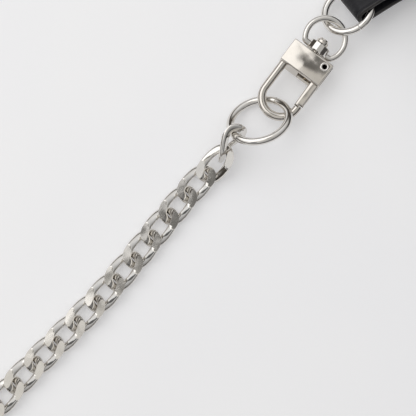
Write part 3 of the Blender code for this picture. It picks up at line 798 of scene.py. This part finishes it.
def make_clasp(tag, place):
    """x runs from the hook to the swivel ring, y to its left, z out of its face."""
    length, width, thick = BODY_SIZE
    px, py = PIVOT
    pivot = move(px, py, 0.0)
    side = [(-length / 2, thick / 2), (-length / 2 - BODY_SLOPE, -thick / 4),
            (-length / 2 - BODY_SLOPE, -thick / 2), (length / 2, -thick / 2), (length / 2, thick / 2)]
    bm = moved(slab(side, -width / 2, width / 2), turn("X", 90))
    bmesh.ops.bevel(bm, geom=bm.edges[:], offset=BODY_BEVEL, segments=3, affect="EDGES", profile=0.5)
    body = build(f"clasp_casting_{tag}", recalc(bm), [CAST_NICKEL], place)
    path = hook_path()
    hook = build("hook", sweep(path, [UP] * len(path), [hook_section()] * len(path), False), [CAST_NICKEL],
                 place)
    boolean(body, "UNION", hook)
    discard(hook)
    carve(body, place,
          box_mesh((-6.0, -9.0, -CAVITY_HALF), (0.6, 0.3, CAVITY_HALF), 0.25, 2),
          box_mesh((0.0, -9.0, -CAVITY_HALF), (px + KNUCKLE + 0.15, -3.7, CAVITY_HALF)),
          moved(drill(PIN_BORE, -3, 3), pivot),
          moved(turned([(0, 1.6), (POST_BORE, 1.6), (POST_BORE, 3.4), (1.45, 5.0), (0, 5.0)], 32),
                turn("Y", 90)),
          box_mesh((HOOK_STEP_X[0], -HOOK_LEG + 0.05, -2), (HOOK_STEP_X[1], -3.8, 2)))
    stands(body, f"clasp_{tag}", "nickel", f"clasp_body_{tag}")

    outer_y, notch_y, nose_y, inner_y = GATE_Y
    notch_x, nose_x = GATE_NOSE_X
    outline = [(notch_x, outer_y), (notch_x, notch_y), (nose_x, notch_y), (nose_x, nose_y),
               (px - 1.2, inner_y), *arc(KNUCKLE, 66, -90, 14, px, py), (-length / 2, outer_y)]
    gate = build(f"clasp_gate_bar_{tag}", slab(outline, -GATE_HALF, GATE_HALF, 0.8, 4), [CAST_NICKEL], place)
    seat = turned([(0, 0.25), (KNUCKLE + 0.1, 0.25), (KNUCKLE + 0.1, 2), (0, 2)], 32)
    carve(gate, place @ pivot, drill(GATE_BORE, -3, 3), seat)
    stands(gate, f"gate_{tag}", "nickel", f"clasp_gate_{tag}")

    top = thick / 2
    eyelet = turned([
        (0.0, -top - 0.2), (1.25, -top - 0.42), (1.5, -top - 0.1), (1.3, -top), (PIN_RADIUS, -top + 0.1),
        (PIN_RADIUS, top - 0.1), (1.3, top), (1.5, top + 0.1), (1.46, top + 0.26), (1.28, top + 0.42),
        (1.02, top + 0.45), (0.8, top + 0.36), (0.68, top + 0.1), (0.66, -top + 0.8), (0.0, -top + 0.6)], 40)
    # the bore's faces take the painted-shade material: painted shade inside the deep pin hole
    for face in eyelet.faces:
        face.material_index = int(face.calc_center_median().xy.length < PAINTED_SHADE_BORE_RADIUS)
    pin = build(f"pivot_eyelet_{tag}", eyelet, [NICKEL, PAINTED_SHADE_BORE], place @ pivot, 50.0)
    stands(pin, f"clasp_{tag}", "nickel", f"gate_pin_{tag}")

    coil_radius, coil_wire, coil_turns = SPRING
    low, high = SPRING_Z
    coil = [Vector((x, y, low + (high - low) * i / 96))
            for i, (x, y) in enumerate(arc(coil_radius, 0, 360 * coil_turns, 96))]
    spring = build(f"torsion_spring_{tag}", tube(coil, coil_wire, sides=8), [STEEL], place @ pivot)
    stands(spring, f"clasp_{tag}", "spring_steel", f"gate_spring_{tag}")

    post = softened([(0.0, 1.9), (POST_RADIUS, 1.9), (POST_RADIUS, 7.4), (2.0, 7.5), (2.05, 8.35),
                     (1.8, 8.6), (1.55, 8.65), (1.45, 9.2), (0.0, 9.33)], 0.12, (1, 2))
    rivet = build(f"swivel_rivet_{tag}", turned(post, 36), [CAST_NICKEL], place @ turn("Y", 90), 30.0)
    stands(rivet, f"clasp_{tag}", "nickel", f"swivel_post_{tag}")


def make_swivel_ring(tag, place):
    """The D-shaped ring with its swivel barrel."""
    radius, wire = SWIVEL_RING
    path = [Vector((max(SWIVEL_RING_CENTRE + x, SWIVEL_FLAT), y, 0.0)) for x, y in circle(radius, 120)]
    count = len(path)
    for _ in range(6):
        path = [(path[i - 1] + path[i] * 2 + path[(i + 1) % count]) / 4 for i in range(count)]
    ring = build(f"swivel_loop_{tag}", tube(path, wire, True, sides=24), [NICKEL], place)
    low, high = BOSS_ENDS
    rim = BOSS_RADIUS - BOSS_CHAMFER
    barrel = [(0.0, low), (rim, low), (BOSS_RADIUS, low + BOSS_CHAMFER), (BOSS_RADIUS, high - BOSS_CHAMFER),
              (rim, high), (0.0, high)]
    along = place @ turn("Y", 90)
    boss = build("boss", turned(barrel, BOSS_SIDES), [CAST_NICKEL], along @ turn("Z", 12.0), 20.0)
    boolean(ring, "UNION", boss)
    discard(boss)
    carve(ring, along, drill(POST_BORE, 3, 8), sharp=20.0)
    stands(ring, f"swivel_ring_{tag}", "nickel", f"swivel_ring_{tag}")


# ------------ chain tab


def fold_share(x):
    """0 where the tab meets the wallet, 1 at its fold."""
    return 1.0 - smooth(x, FOLD.x + TAB_TURN[0], -WALLET_LENGTH / 2 - TAB_TURN[1])


def tab_frame(x):
    """Centre, across and up of the tab at x: flat at the wallet, in the ring's plane at the fold."""
    share = fold_share(x)
    plane_z = RING_CENTRE.z + (x - RING_CENTRE.x) * math.tan(math.radians(RING_PITCH))
    tilt = math.radians(RING_TILT * share)
    centre = Vector((x, TAB_Y, TAB_FLAT_Z + (plane_z - TAB_FLAT_Z) * share))
    across = Vector((0.0, math.cos(tilt), -math.sin(tilt)))
    return centre, across, Vector((0.0, math.sin(tilt), math.cos(tilt)))


def tab_path(steps=70, bend_steps=22):
    """(x, distance from the middle layer) along the leather's middle, tail to fold to tail."""
    flat_gap = (TAB_LEATHER + 0.3) / 2
    tail_x = -WALLET_LENGTH / 2 + TAB_TAIL
    bend_x = FOLD.x + TAB_LEATHER / 2 + TAB_LOOP_GAP
    upper = []
    for i in range(steps + 1):
        x = tail_x + (bend_x - tail_x) * i / steps
        upper.append((x, flat_gap + (TAB_LOOP_GAP - flat_gap) * fold_share(x)))
    bend = arc(TAB_LOOP_GAP, 90, 270, bend_steps + 1, bend_x)[1:-1]
    return upper + bend + [(x, -w) for x, w in reversed(upper)]


def tab_section():
    """(across, through, material) of the strap, outer face first, with a creased line near each edge."""
    half = TAB_WIDTH / 2
    thick = TAB_LEATHER / 2
    points = [(-half + 0.45, thick, 0), (-half + 1.0, thick, 0), (-half + 1.25, thick - 0.16, 0),
              (-half + 1.5, thick, 0)]
    points += [(v, thick, 0) for v in (-3.0, -1.5, 0.0, 1.5, 3.0)]
    points += [(half - 1.5, thick, 0), (half - 1.25, thick - 0.16, 0), (half - 1.0, thick, 0),
               (half - 0.45, thick, 0), (half - 0.12, thick - 0.14, 1), (half, thick - 0.42, 1),
               (half, 0.0, 1), (half, -thick + 0.42, 1), (half - 0.12, -thick + 0.12, 1),
               (half - 0.4, -thick, 0)]
    points += [(v, -thick, 0) for v in (3.0, 0.0, -3.0)]
    points += [(-half + 0.4, -thick, 1), (-half + 0.12, -thick + 0.12, 1), (-half, -thick + 0.42, 1),
               (-half, 0.0, 1), (-half, thick - 0.42, 1), (-half + 0.12, thick - 0.14, 1)]
    return points


def tab_point(x, w, across_distance):
    centre, across, up = tab_frame(x)
    return centre + across * across_distance + up * w


def path_normals(path):
    out = []
    for i in range(len(path)):
        before, after = path[max(i - 1, 0)], path[min(i + 1, len(path) - 1)]
        ahead = Vector((after[0] - before[0], after[1] - before[1])).normalized()
        out.append((ahead.y, -ahead.x))
    return out


def make_tab():
    path = tab_path()
    section = tab_section()
    bm = bmesh.new()
    rows = []
    for (x, w), (nx, nw) in zip(path, path_normals(path)):
        row = []
        for v, t, _ in section:
            wave = TAB_WAVE * noise.noise(Vector((x * 0.35, v * 0.45, w * 0.4)))
            depth = t + (wave if abs(v) < TAB_WIDTH / 2 - 0.3 else 0.0)
            row.append(bm.verts.new(tab_point(x + nx * depth, w + nw * depth, v)))
        rows.append(row)
    skin(bm, rows)
    for n, face in enumerate(bm.faces):
        face.material_index = section[n % len(section)][2]
    for end in cap(bm, rows):
        end.material_index = 1
    tab = build("leather_chain_tab", recalc(bm), [BLACK, EDGE], sharp=50.0)
    stands(tab, "wallet", "black_leather", "chain_tab")

    ring_place = move(*RING_CENTRE) @ turn("X", -RING_TILT) @ turn("Y", -RING_PITCH)
    ring = split_ring("split_wallet_ring", WALLET_RING, WALLET_RING_CUT, ring_place)
    stands(ring, "wallet_ring", "nickel", "wallet_ring")


# ------------ stitches


def add_stitch(bm, start, end, normal):
    """One stitch: a short thread that comes out of the leather, lies along it and goes back in."""
    ahead = (end - start).normalized()
    across = normal.cross(ahead).normalized()
    rings = []
    for share, lift, size in ((0.0, -0.30, 0.5), (0.1, -0.02, 0.9), (0.3, 0.12, 1.0), (0.5, 0.15, 1.02),
                              (0.7, 0.12, 1.0), (0.9, -0.02, 0.9), (1.0, -0.30, 0.5)):
        centre = start.lerp(end, share) + normal * lift
        outline = arc(THREAD_WIDTH / 2 * size, 0, 360, 8)[:-1]
        rings.append([bm.verts.new(centre + across * a + normal * 0.8 * b) for a, b in outline])
    skin(bm, rings)
    cap(bm, rings)


def stitch_line(bm, points, normal, pitch=STITCH_PITCH, length=0.74):
    """Stitches at an even pitch along a polyline."""
    lengths = [(b - a).length for a, b in zip(points, points[1:])]
    total = sum(lengths)
    count = max(1, round(total / pitch))

    def at(distance):
        for (a, b), size in zip(zip(points, points[1:]), lengths):
            if distance <= size:
                return a.lerp(b, distance / size if size else 0.0)
            distance -= size
        return points[-1].copy()

    for i in range(count):
        middle = total * (i + 0.5) / count
        half = total / count * length / 2
        add_stitch(bm, at(middle - half), at(middle + half), normal)


def edge_line(inset, z, y_end):
    """Three sides of the wallet at an inset from its edge, from the spine round to the spine."""
    x = WALLET_LENGTH / 2 - inset
    radius = CORNER_RADIUS - inset
    corner_y = -WALLET_WIDTH / 2 + inset + radius
    outline = [(-x, y_end), *arc(radius, 180, 270, 8, -x + radius, corner_y),
               *arc(radius, 270, 360, 8, x - radius, corner_y), (x, y_end)]
    return [Vector((*point, z)) for point in outline]


# ------------ wallet leather


def edge_profile(thick):
    """(inset, height, material) across the panel's rim: bottom face, edge and top face."""
    half = min(thick / 2, 0.8)
    groove, crease = STITCH_INSET, CREASE_INSET
    bottom = [(9.0, 0.0, 0), (groove + 0.5, 0.0, 0), (groove, 0.22, 0), (groove - 0.5, 0.0, 0),
              (crease + 0.3, 0.0, 0), (crease, 0.13, 0), (crease - 0.3, 0.0, 0),
              (half * 0.9, 0.0, 0), (half * 0.5, 0.07, 1), (half * 0.18, 0.28, 1), (0.0, half, 1)]
    top = [(inset, thick - height, look) for inset, height, look in reversed(bottom[:-1])]
    return bottom + [(0.0, thick - half, 1)] * (thick - half > half + 1e-6) + top


def panel_loops(thick, y_high):
    loops, looks = [], []
    for inset, height, look in edge_profile(thick):
        radius = max(CORNER_RADIUS - inset, 0.6)
        outline = rounded(-WALLET_LENGTH / 2 + inset, WALLET_LENGTH / 2 - inset, -WALLET_WIDTH / 2 + inset,
                          y_high - inset, (radius, radius, 0.5, 0.5), 10)
        loops.append([(x, y, height) for x, y in outline])
        looks.append(look)
    return loops, looks


def slot_loops(thick):
    """The zip slot's turned edge, from the panel's top face down to its bottom face."""
    loops, looks = [], []
    profile = [(3.4, thick, 0), (2.5, thick, 0), (2.3, thick - 0.14, 0), (2.1, thick, 0), (0.5, thick, 0),
               (0.18, thick - 0.10, 1), (0.0, thick - 0.4, 1), (0.0, 0.4, 1), (0.4, 0.0, 1), (3.0, 0.0, 0)]
    half_x, half_y = SLOT_HALF
    for out, height, look in profile:
        outline = rounded(-half_x - out, half_x + out, ZIP_Y - half_y - out, ZIP_Y + half_y + out,
                          (SLOT_CORNER + out,) * 4, 10)
        loops.append([(x, y, height) for x, y in outline])
        looks.append(look)
    return loops, looks


def bent(bm):
    """Folds the flat leather up into the spine: past the bend's start, y becomes length along the bend."""
    outer = WALLET_WIDTH / 2
    start = outer - SPINE_BEND
    arc = SPINE_BEND * math.pi / 2
    for vert in bm.verts:
        x, y, z = vert.co
        if y <= start:
            continue
        along = y - start
        radius = SPINE_BEND - z  # z is the height over the outer face
        if along < arc:
            a = along / SPINE_BEND
            vert.co = (x, start + radius * math.sin(a), SPINE_BEND - radius * math.cos(a))
        else:
            vert.co = (x, outer - z, SPINE_BEND + along - arc)
    return bm


def leather_piece(thick, with_slot):
    """Panel and half of the spine in one piece, outer face down at z = 0."""
    bend = SPINE_BEND * math.pi / 2
    start = WALLET_WIDTH / 2 - SPINE_BEND
    end = start + bend + SEAM_HEIGHT - SPINE_BEND
    loops, looks = panel_loops(thick, end + 14.0)
    if with_slot:
        inner, inner_looks = slot_loops(thick)
        loops += inner
        looks += inner_looks
    bm = rings_mesh(loops, not with_slot, lambda n: min(looks[n], looks[(n + 1) % len(looks)]))

    def slice_at(axis, value, **how):
        point, normal = Vector(), Vector()
        point[axis], normal[axis] = value, 1.0
        return bmesh.ops.bisect_plane(bm, geom=bm.verts[:] + bm.edges[:] + bm.faces[:], dist=1e-5,
                                      plane_co=point, plane_no=normal, **how)

    kept = slice_at(1, end, clear_outer=True)["geom_cut"]
    bmesh.ops.holes_fill(bm, edges=[e for e in kept if isinstance(e, bmesh.types.BMEdge)], sides=0)
    for y in [-40.0 + CELL * i for i in range(14)] + [start + bend * i / 14 for i in range(15)]:
        slice_at(1, y)
    for i in range(-14, 15):
        slice_at(0, CELL * i)
    return bent(bm)


def make_leather():
    outer = WALLET_WIDTH / 2
    back = leather_piece(BACK_THICKNESS, False)
    cover = moved(leather_piece(LEATHER, True), move(0, 0, CLOSED_HEIGHT) @ Matrix.Diagonal((1, 1, -1, 1)))
    bmesh.ops.reverse_faces(cover, faces=cover.faces)
    inner = outer - SPINE_BLEND
    for name, bm, node, bodies, start, end in (
            ("back_leather", back, "back_panel", ("wallet", "spine"),
             (0, inner, 0), (0, outer, SPINE_BLEND)),
            ("cover_leather", recalc(cover), "front_cover", ("spine", "cover"),
             (0, outer, CLOSED_HEIGHT - SPINE_BLEND), (0, inner, CLOSED_HEIGHT))):
        piece = build(name, bm, [BLACK, EDGE], sharp=48.0)
        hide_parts(node)
        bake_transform(piece)

    liner = build("spine_lining", box_mesh(*SPINE_LINER, 0.15, 2), [LINING])
    stands(liner, "spine", "lining_cloth", "spine")

    bm = bmesh.new()
    stitch_line(bm, edge_line(STITCH_INSET, STITCH_SINK, SEAM_END_Y), -UP)
    stitch_line(bm, edge_line(STITCH_INSET, BACK_THICKNESS - STITCH_SINK, SEAM_END_Y), UP)
    stands(build("back_stitching", recalc(bm), [THREAD], merge=False), "wallet", "black_leather")
    bm = bmesh.new()
    stitch_line(bm, edge_line(STITCH_INSET, CLOSED_HEIGHT - STITCH_SINK, SEAM_END_Y), UP)
    slot_x, slot_y = SLOT_HALF[0] + 1.4, SLOT_HALF[1] + 1.4
    corner = [Vector((*point, CLOSED_HEIGHT)) for point in
              rounded(-slot_x, slot_x, ZIP_Y - slot_y, ZIP_Y + slot_y, (3.0,) * 4, 6)]
    stitch_line(bm, corner + corner[:1], UP, 2.6)
    stands(build("cover_stitching", recalc(bm), [THREAD], merge=False), "cover", "black_leather")


def panel(name, outline_at, low, high, look, body, slot, nodes, rim=0.35):
    """A flat panel with a rounded rim: outline_at(inset) gives its outline."""
    loops, looks = [], []
    thick = high - low
    profile = [(rim, 0.0, 0), (rim * 0.3, rim * 0.3, 1), (0.0, rim, 1), (0.0, thick - rim, 1),
               (rim * 0.3, thick - rim * 0.3, 1), (rim, thick, 0)]
    for inset, height, edge in profile:
        loops.append([(x, y, low + height) for x, y in outline_at(inset)])
        looks.append(edge)
    bm = rings_mesh(loops, True, lambda n: 1 if looks[n] or looks[min(n + 1, len(looks) - 1)] else 0)
    piece = build(name, bm, [look, EDGE if look in (BLACK, SOFT_BLACK) else look], sharp=48.0)
    return stands(piece, body, slot, *nodes)


def make_inside():
    panel("pocket_floor", notched, POCKET_LOW, HOLLOW_LOW, LINING, "wallet", "lining_cloth", (), 0.2)
    panel("pocket_top", notched, HOLLOW_HIGH, POCKET_HIGH, SOFT_BLACK, "wallet", "black_leather",
          ("bill_pocket",), 0.35)
    make_gusset()
    seams = bmesh.new()

    def seam(x_from, y_from, x_to, y_to, z, pitch):
        stitch_line(seams, [Vector((x_from, y_from, z)), Vector((x_to, y_to, z))], UP, pitch)

    for line in ((-84.0, -40.0, -84.0, 15.0), (84.0, -40.0, 84.0, 41.0), (-52.0, -42.0, 52.0, -42.0)):
        seam(*line, POCKET_HIGH, STITCH_PITCH)
    for i in range(CARD_SLOTS):
        low = CARD_LOW + CARD_RISE * i
        high = low + CARD_THICK
        top = CARD_Y[1] - CARD_STEP * i

        def card_outline(inset, top=top):
            return rounded(-CARD_HALF_X + inset, CARD_HALF_X - inset, CARD_Y[0] + inset, top - inset,
                           (0.6, 0.6, 2.5 - inset, 2.5 - inset), 5)

        panel(f"card_panel_{i + 1}", card_outline, low, high, SOFT_BLACK, "wallet", "black_leather",
              (f"card_slot_{i + 1}",))
        foot = CARD_Y[0] + 2.0 if i == CARD_SLOTS - 1 else top - CARD_STEP + 1.5
        for x in (-82.0, 82.0, 0.0):
            seam(x, foot, x, top - 2.0, high, FINE_PITCH)
        seam(-81.0, top - 1.6, 81.0, top - 1.6, high, FINE_PITCH)
    stands(build("pocket_stitching", recalc(seams), [THREAD], merge=False), "wallet", "black_leather")

    def lining_outline(inset):
        return rounded(-LINING_HALF_X + inset, LINING_HALF_X - inset, LINING_Y[0] + inset,
                       LINING_Y[1] - inset, (6.0 - inset, 6.0 - inset, 0.6, 0.6), 6)

    panel("cover_lining_panel", lining_outline, LINING_LOW, LINING_HIGH, LINING, "cover", "lining_cloth",
          ("cover_lining",), 0.25)


def notched(inset):
    """The bill pocket from above, with the notch at -X that takes the tab's tail."""
    x = POCKET_HALF_X - inset
    low, high = POCKET_Y[0] + inset, POCKET_Y[1] - inset
    notch_x, notch_low, notch_high = NOTCH[0] + inset, NOTCH[1] - inset, NOTCH[2] + inset
    return [(-x, low), (x, low), (x, high), (-x, high), (-x, notch_high), (notch_x, notch_high),
            (notch_x, notch_low), (-x, notch_low)]


def make_gusset():
    """The pocket's side: one strip of lining folded inward, round three sides and the notch."""
    def wall(inset):
        outline = notched(inset)
        return outline[1:] + outline[:1]

    height = HOLLOW_HIGH - HOLLOW_LOW
    section = [(0.15, 0.02), (1.0, height / 2), (0.15, height - 0.02), (0.45, height - 0.02),
               (1.35, height / 2), (0.45, 0.02)]
    bm = bmesh.new()
    rows = [[bm.verts.new((x, y, HOLLOW_LOW + z)) for x, y in wall(inset)] for inset, z in section]
    count = len(section)
    length = len(rows[0])
    for n in range(count):
        low, high = rows[n], rows[(n + 1) % count]
        for j in range(length - 1):
            bm.faces.new((low[j], low[j + 1], high[j + 1], high[j]))
    bm.faces.new([row[0] for row in rows])
    bm.faces.new([row[-1] for row in rows][::-1])
    stands(build("pocket_gusset", recalc(bm), [LINING]), "wallet", "lining_cloth")


# ------------ snaps and zip


def make_snaps():
    for side, x in (("left", -SNAP_X), ("right", SNAP_X)):
        here = move(x, SNAP_Y, 0.0)
        top = CLOSED_HEIGHT + SNAP_GAP
        socket_top = LINING_LOW - SNAP_GAP
        base = POCKET_HIGH + SNAP_GAP
        seat = HOLLOW_HIGH
        button = softened([(0.0, socket_top - 0.4), (SHANK, socket_top - 0.4), (SHANK, top - 0.2),
                           (5.6, top - 0.2), (6.15, top), (6.25, top + 0.3), (6.1, top + 0.62),
                           (5.5, top + 0.78), (5.0, top + 0.68), (4.7, top + 0.9), (3.6, top + 1.28),
                           (2.0, top + 1.5), (0.0, top + 1.58)], 0.12)
        low = POCKET_HIGH + 1.35
        socket = [(1.75, socket_top), (1.75, socket_top - 0.7), (3.3, socket_top - 0.9), (3.3, low + 0.15),
                  (3.5, low), (4.4, low), (4.6, low + 0.2), (4.75, socket_top - 0.75),
                  (5.4, socket_top - 0.62), (5.5, socket_top - 0.4), (5.5, socket_top)]
        stud = [(0.0, base + 2.4), (1.7, base + 2.2), (1.7, base), (4.9, base), (5.0, base + 0.2),
                (4.85, base + 0.48), (2.75, base + 0.7), (2.5, base + 0.95), (2.5, base + 1.8),
                (2.8, base + 2.25), (2.8, base + 2.6), (2.3, base + 2.98), (0.0, base + 3.18)]
        post = [(0.0, seat + 0.05), (3.4, seat + 0.05), (3.5, seat + 0.15), (3.4, seat + 0.28),
                (SHANK, seat + 0.4), (SHANK, base + 1.9), (0.0, base + 1.9)]
        for name, profile, closed, body, node in (
                ("snap_button", button, False, "cover", "snap_cap"),
                ("snap_female", socket, True, "cover", "snap_socket"),
                ("snap_male", stud, False, "wallet", "snap_stud"),
                ("snap_rivet", post, False, "wallet", "snap_post")):
            piece = build(f"{name}_{side}", turned(profile, 64, closed), [NICKEL], here, 32.0)
            stands(piece, body, "nickel", f"{node}_{side}")


def make_zip():
    tape = bmesh.new()
    for side in (-1, 1):
        low, high = sorted(ZIP_Y + side * reach for reach in TAPE_REACH)
        cord_y = ZIP_Y + side * TAPE_CORD[0]
        cord = [Vector((x, cord_y, TAPE_HIGH - 0.1)) for x in (-TAPE_HALF, TAPE_HALF)]
        band = box_mesh((-TAPE_HALF, low, TAPE_LOW + 0.05), (TAPE_HALF, high, TAPE_HIGH - 0.05), 0.1, 2)
        gather(tape, band, tube(cord, TAPE_CORD[1], sides=12))
    stands(build("zip_tapes", tape, [TAPE], merge=False), "cover", "zip_tape_cloth", "zip_tape")

    teeth = bmesh.new()
    for i in range(2 * int(2 * TEETH_HALF / TOOTH_PITCH)):
        add_tooth(teeth, -TEETH_HALF + TOOTH_PITCH * (i + 1) / 2, 1 if i % 2 else -1)
    stands(build("zip_teeth", recalc(teeth), [NICKEL], merge=False), "cover", "nickel")

    stops = bmesh.new()
    for x, half in ((-TEETH_HALF - 0.3, 0.8), (TEETH_HALF + 0.2, 1.1)):
        gather(stops, box_mesh((x - half, ZIP_Y - STOP_HALF_Y, TAPE_LOW + 0.1),
                               (x + half, ZIP_Y + STOP_HALF_Y, TOOTH_TOP + 0.06), 0.3, 3))
    stands(build("zip_stops", stops, [NICKEL], merge=False), "cover", "nickel")
    make_slider()


def add_tooth(bm, x, side):
    """One cast tooth, clamped on its tape's cord and reaching over the middle."""
    outline = [(-0.5, 2.1), (0.5, 2.1), (0.62, 1.2), (0.36, 0.1), (0.46, -0.45), (0.25, -0.75),
               (-0.25, -0.75), (-0.46, -0.45), (-0.36, 0.1), (-0.62, 1.2)]
    rows = []
    for z, scale in ((TAPE_LOW + 0.25, 0.92), (TOOTH_TOP - 0.22, 1.0), (TOOTH_TOP, 0.78)):
        rows.append([bm.verts.new((x + a * scale, ZIP_Y + side * (0.6 + (b - 0.6) * scale), z))
                     for a, b in outline])
    skin(bm, rows)
    cap(bm, rows)


def make_slider():
    here = move(*SLIDER)
    plan = [(-4.5, -2.6), (-3.4, -3.75), (1.6, -3.2), (4.4, -2.4), (4.5, -1.6), (4.5, 1.6), (4.4, 2.4),
            (1.6, 3.2), (-3.4, 3.75), (-4.5, 2.6)]
    body = build("zip_slider_body", slab(plan, -1.22, 0.98, 0.3, 3), [CAST_NICKEL], here)
    carve(body, here, box_mesh((-6, -2.5, -2), (6, 2.5, 0.0)), sharp=38.0)
    arch = [Vector((-2.0 * math.cos(math.pi * i / 12), 0, 1.55 + 0.95 * math.sin(math.pi * i / 12)))
            for i in range(13)]
    arch = [Vector((-2.35, 0, 0.6)), Vector((-2.35, 0, 1.5)), *arch, Vector((2.35, 0, 1.5)),
            Vector((2.35, 0, 0.6))]
    ups = [Vector((-1, 0, 0))] * 2 + [UP] * (len(arch) - 4) + [Vector((1, 0, 0))] * 2
    section = [(0.7, 0.25), (0.6, 0.3), (-0.6, 0.3), (-0.7, 0.25), (-0.7, -0.25), (-0.6, -0.3), (0.6, -0.3),
               (0.7, -0.25)]
    crown = build("crown", sweep(arch, ups, [section] * len(arch), False), [CAST_NICKEL], here)
    boolean(body, "UNION", crown, sharp=35.0)
    discard(crown)
    stands(body, "zip_slider", "nickel", "zip_slider")

    tag = slab(rounded(-0.28, 21.0, -2.3, 2.3, (0.6, 2.1, 2.1, 0.6), 6), 1.3, 1.9, 0.14, 2)
    pull = build("zip_pull_tag", tag, [NICKEL], here)
    carve(pull, here, slab(rounded(0.4, 4.1, -1.5, 1.5, (0.7,) * 4, 5), 0, 3),
          slab(rounded(6.2, 19.6, -1.35, 1.35, (0.5, 1.3, 1.3, 0.5), 5), 1.76, 3), look=NICKEL, sharp=35.0)
    stands(pull, "zip_pull", "nickel", "zip_pull")


# ------------ everything

make_camera()
make_floor()
make_world()
make_key()
make_chain()
make_tab()
make_leather()
make_inside()
make_snaps()
make_zip()

bpy.context.scene.view_settings.view_transform = "Standard"
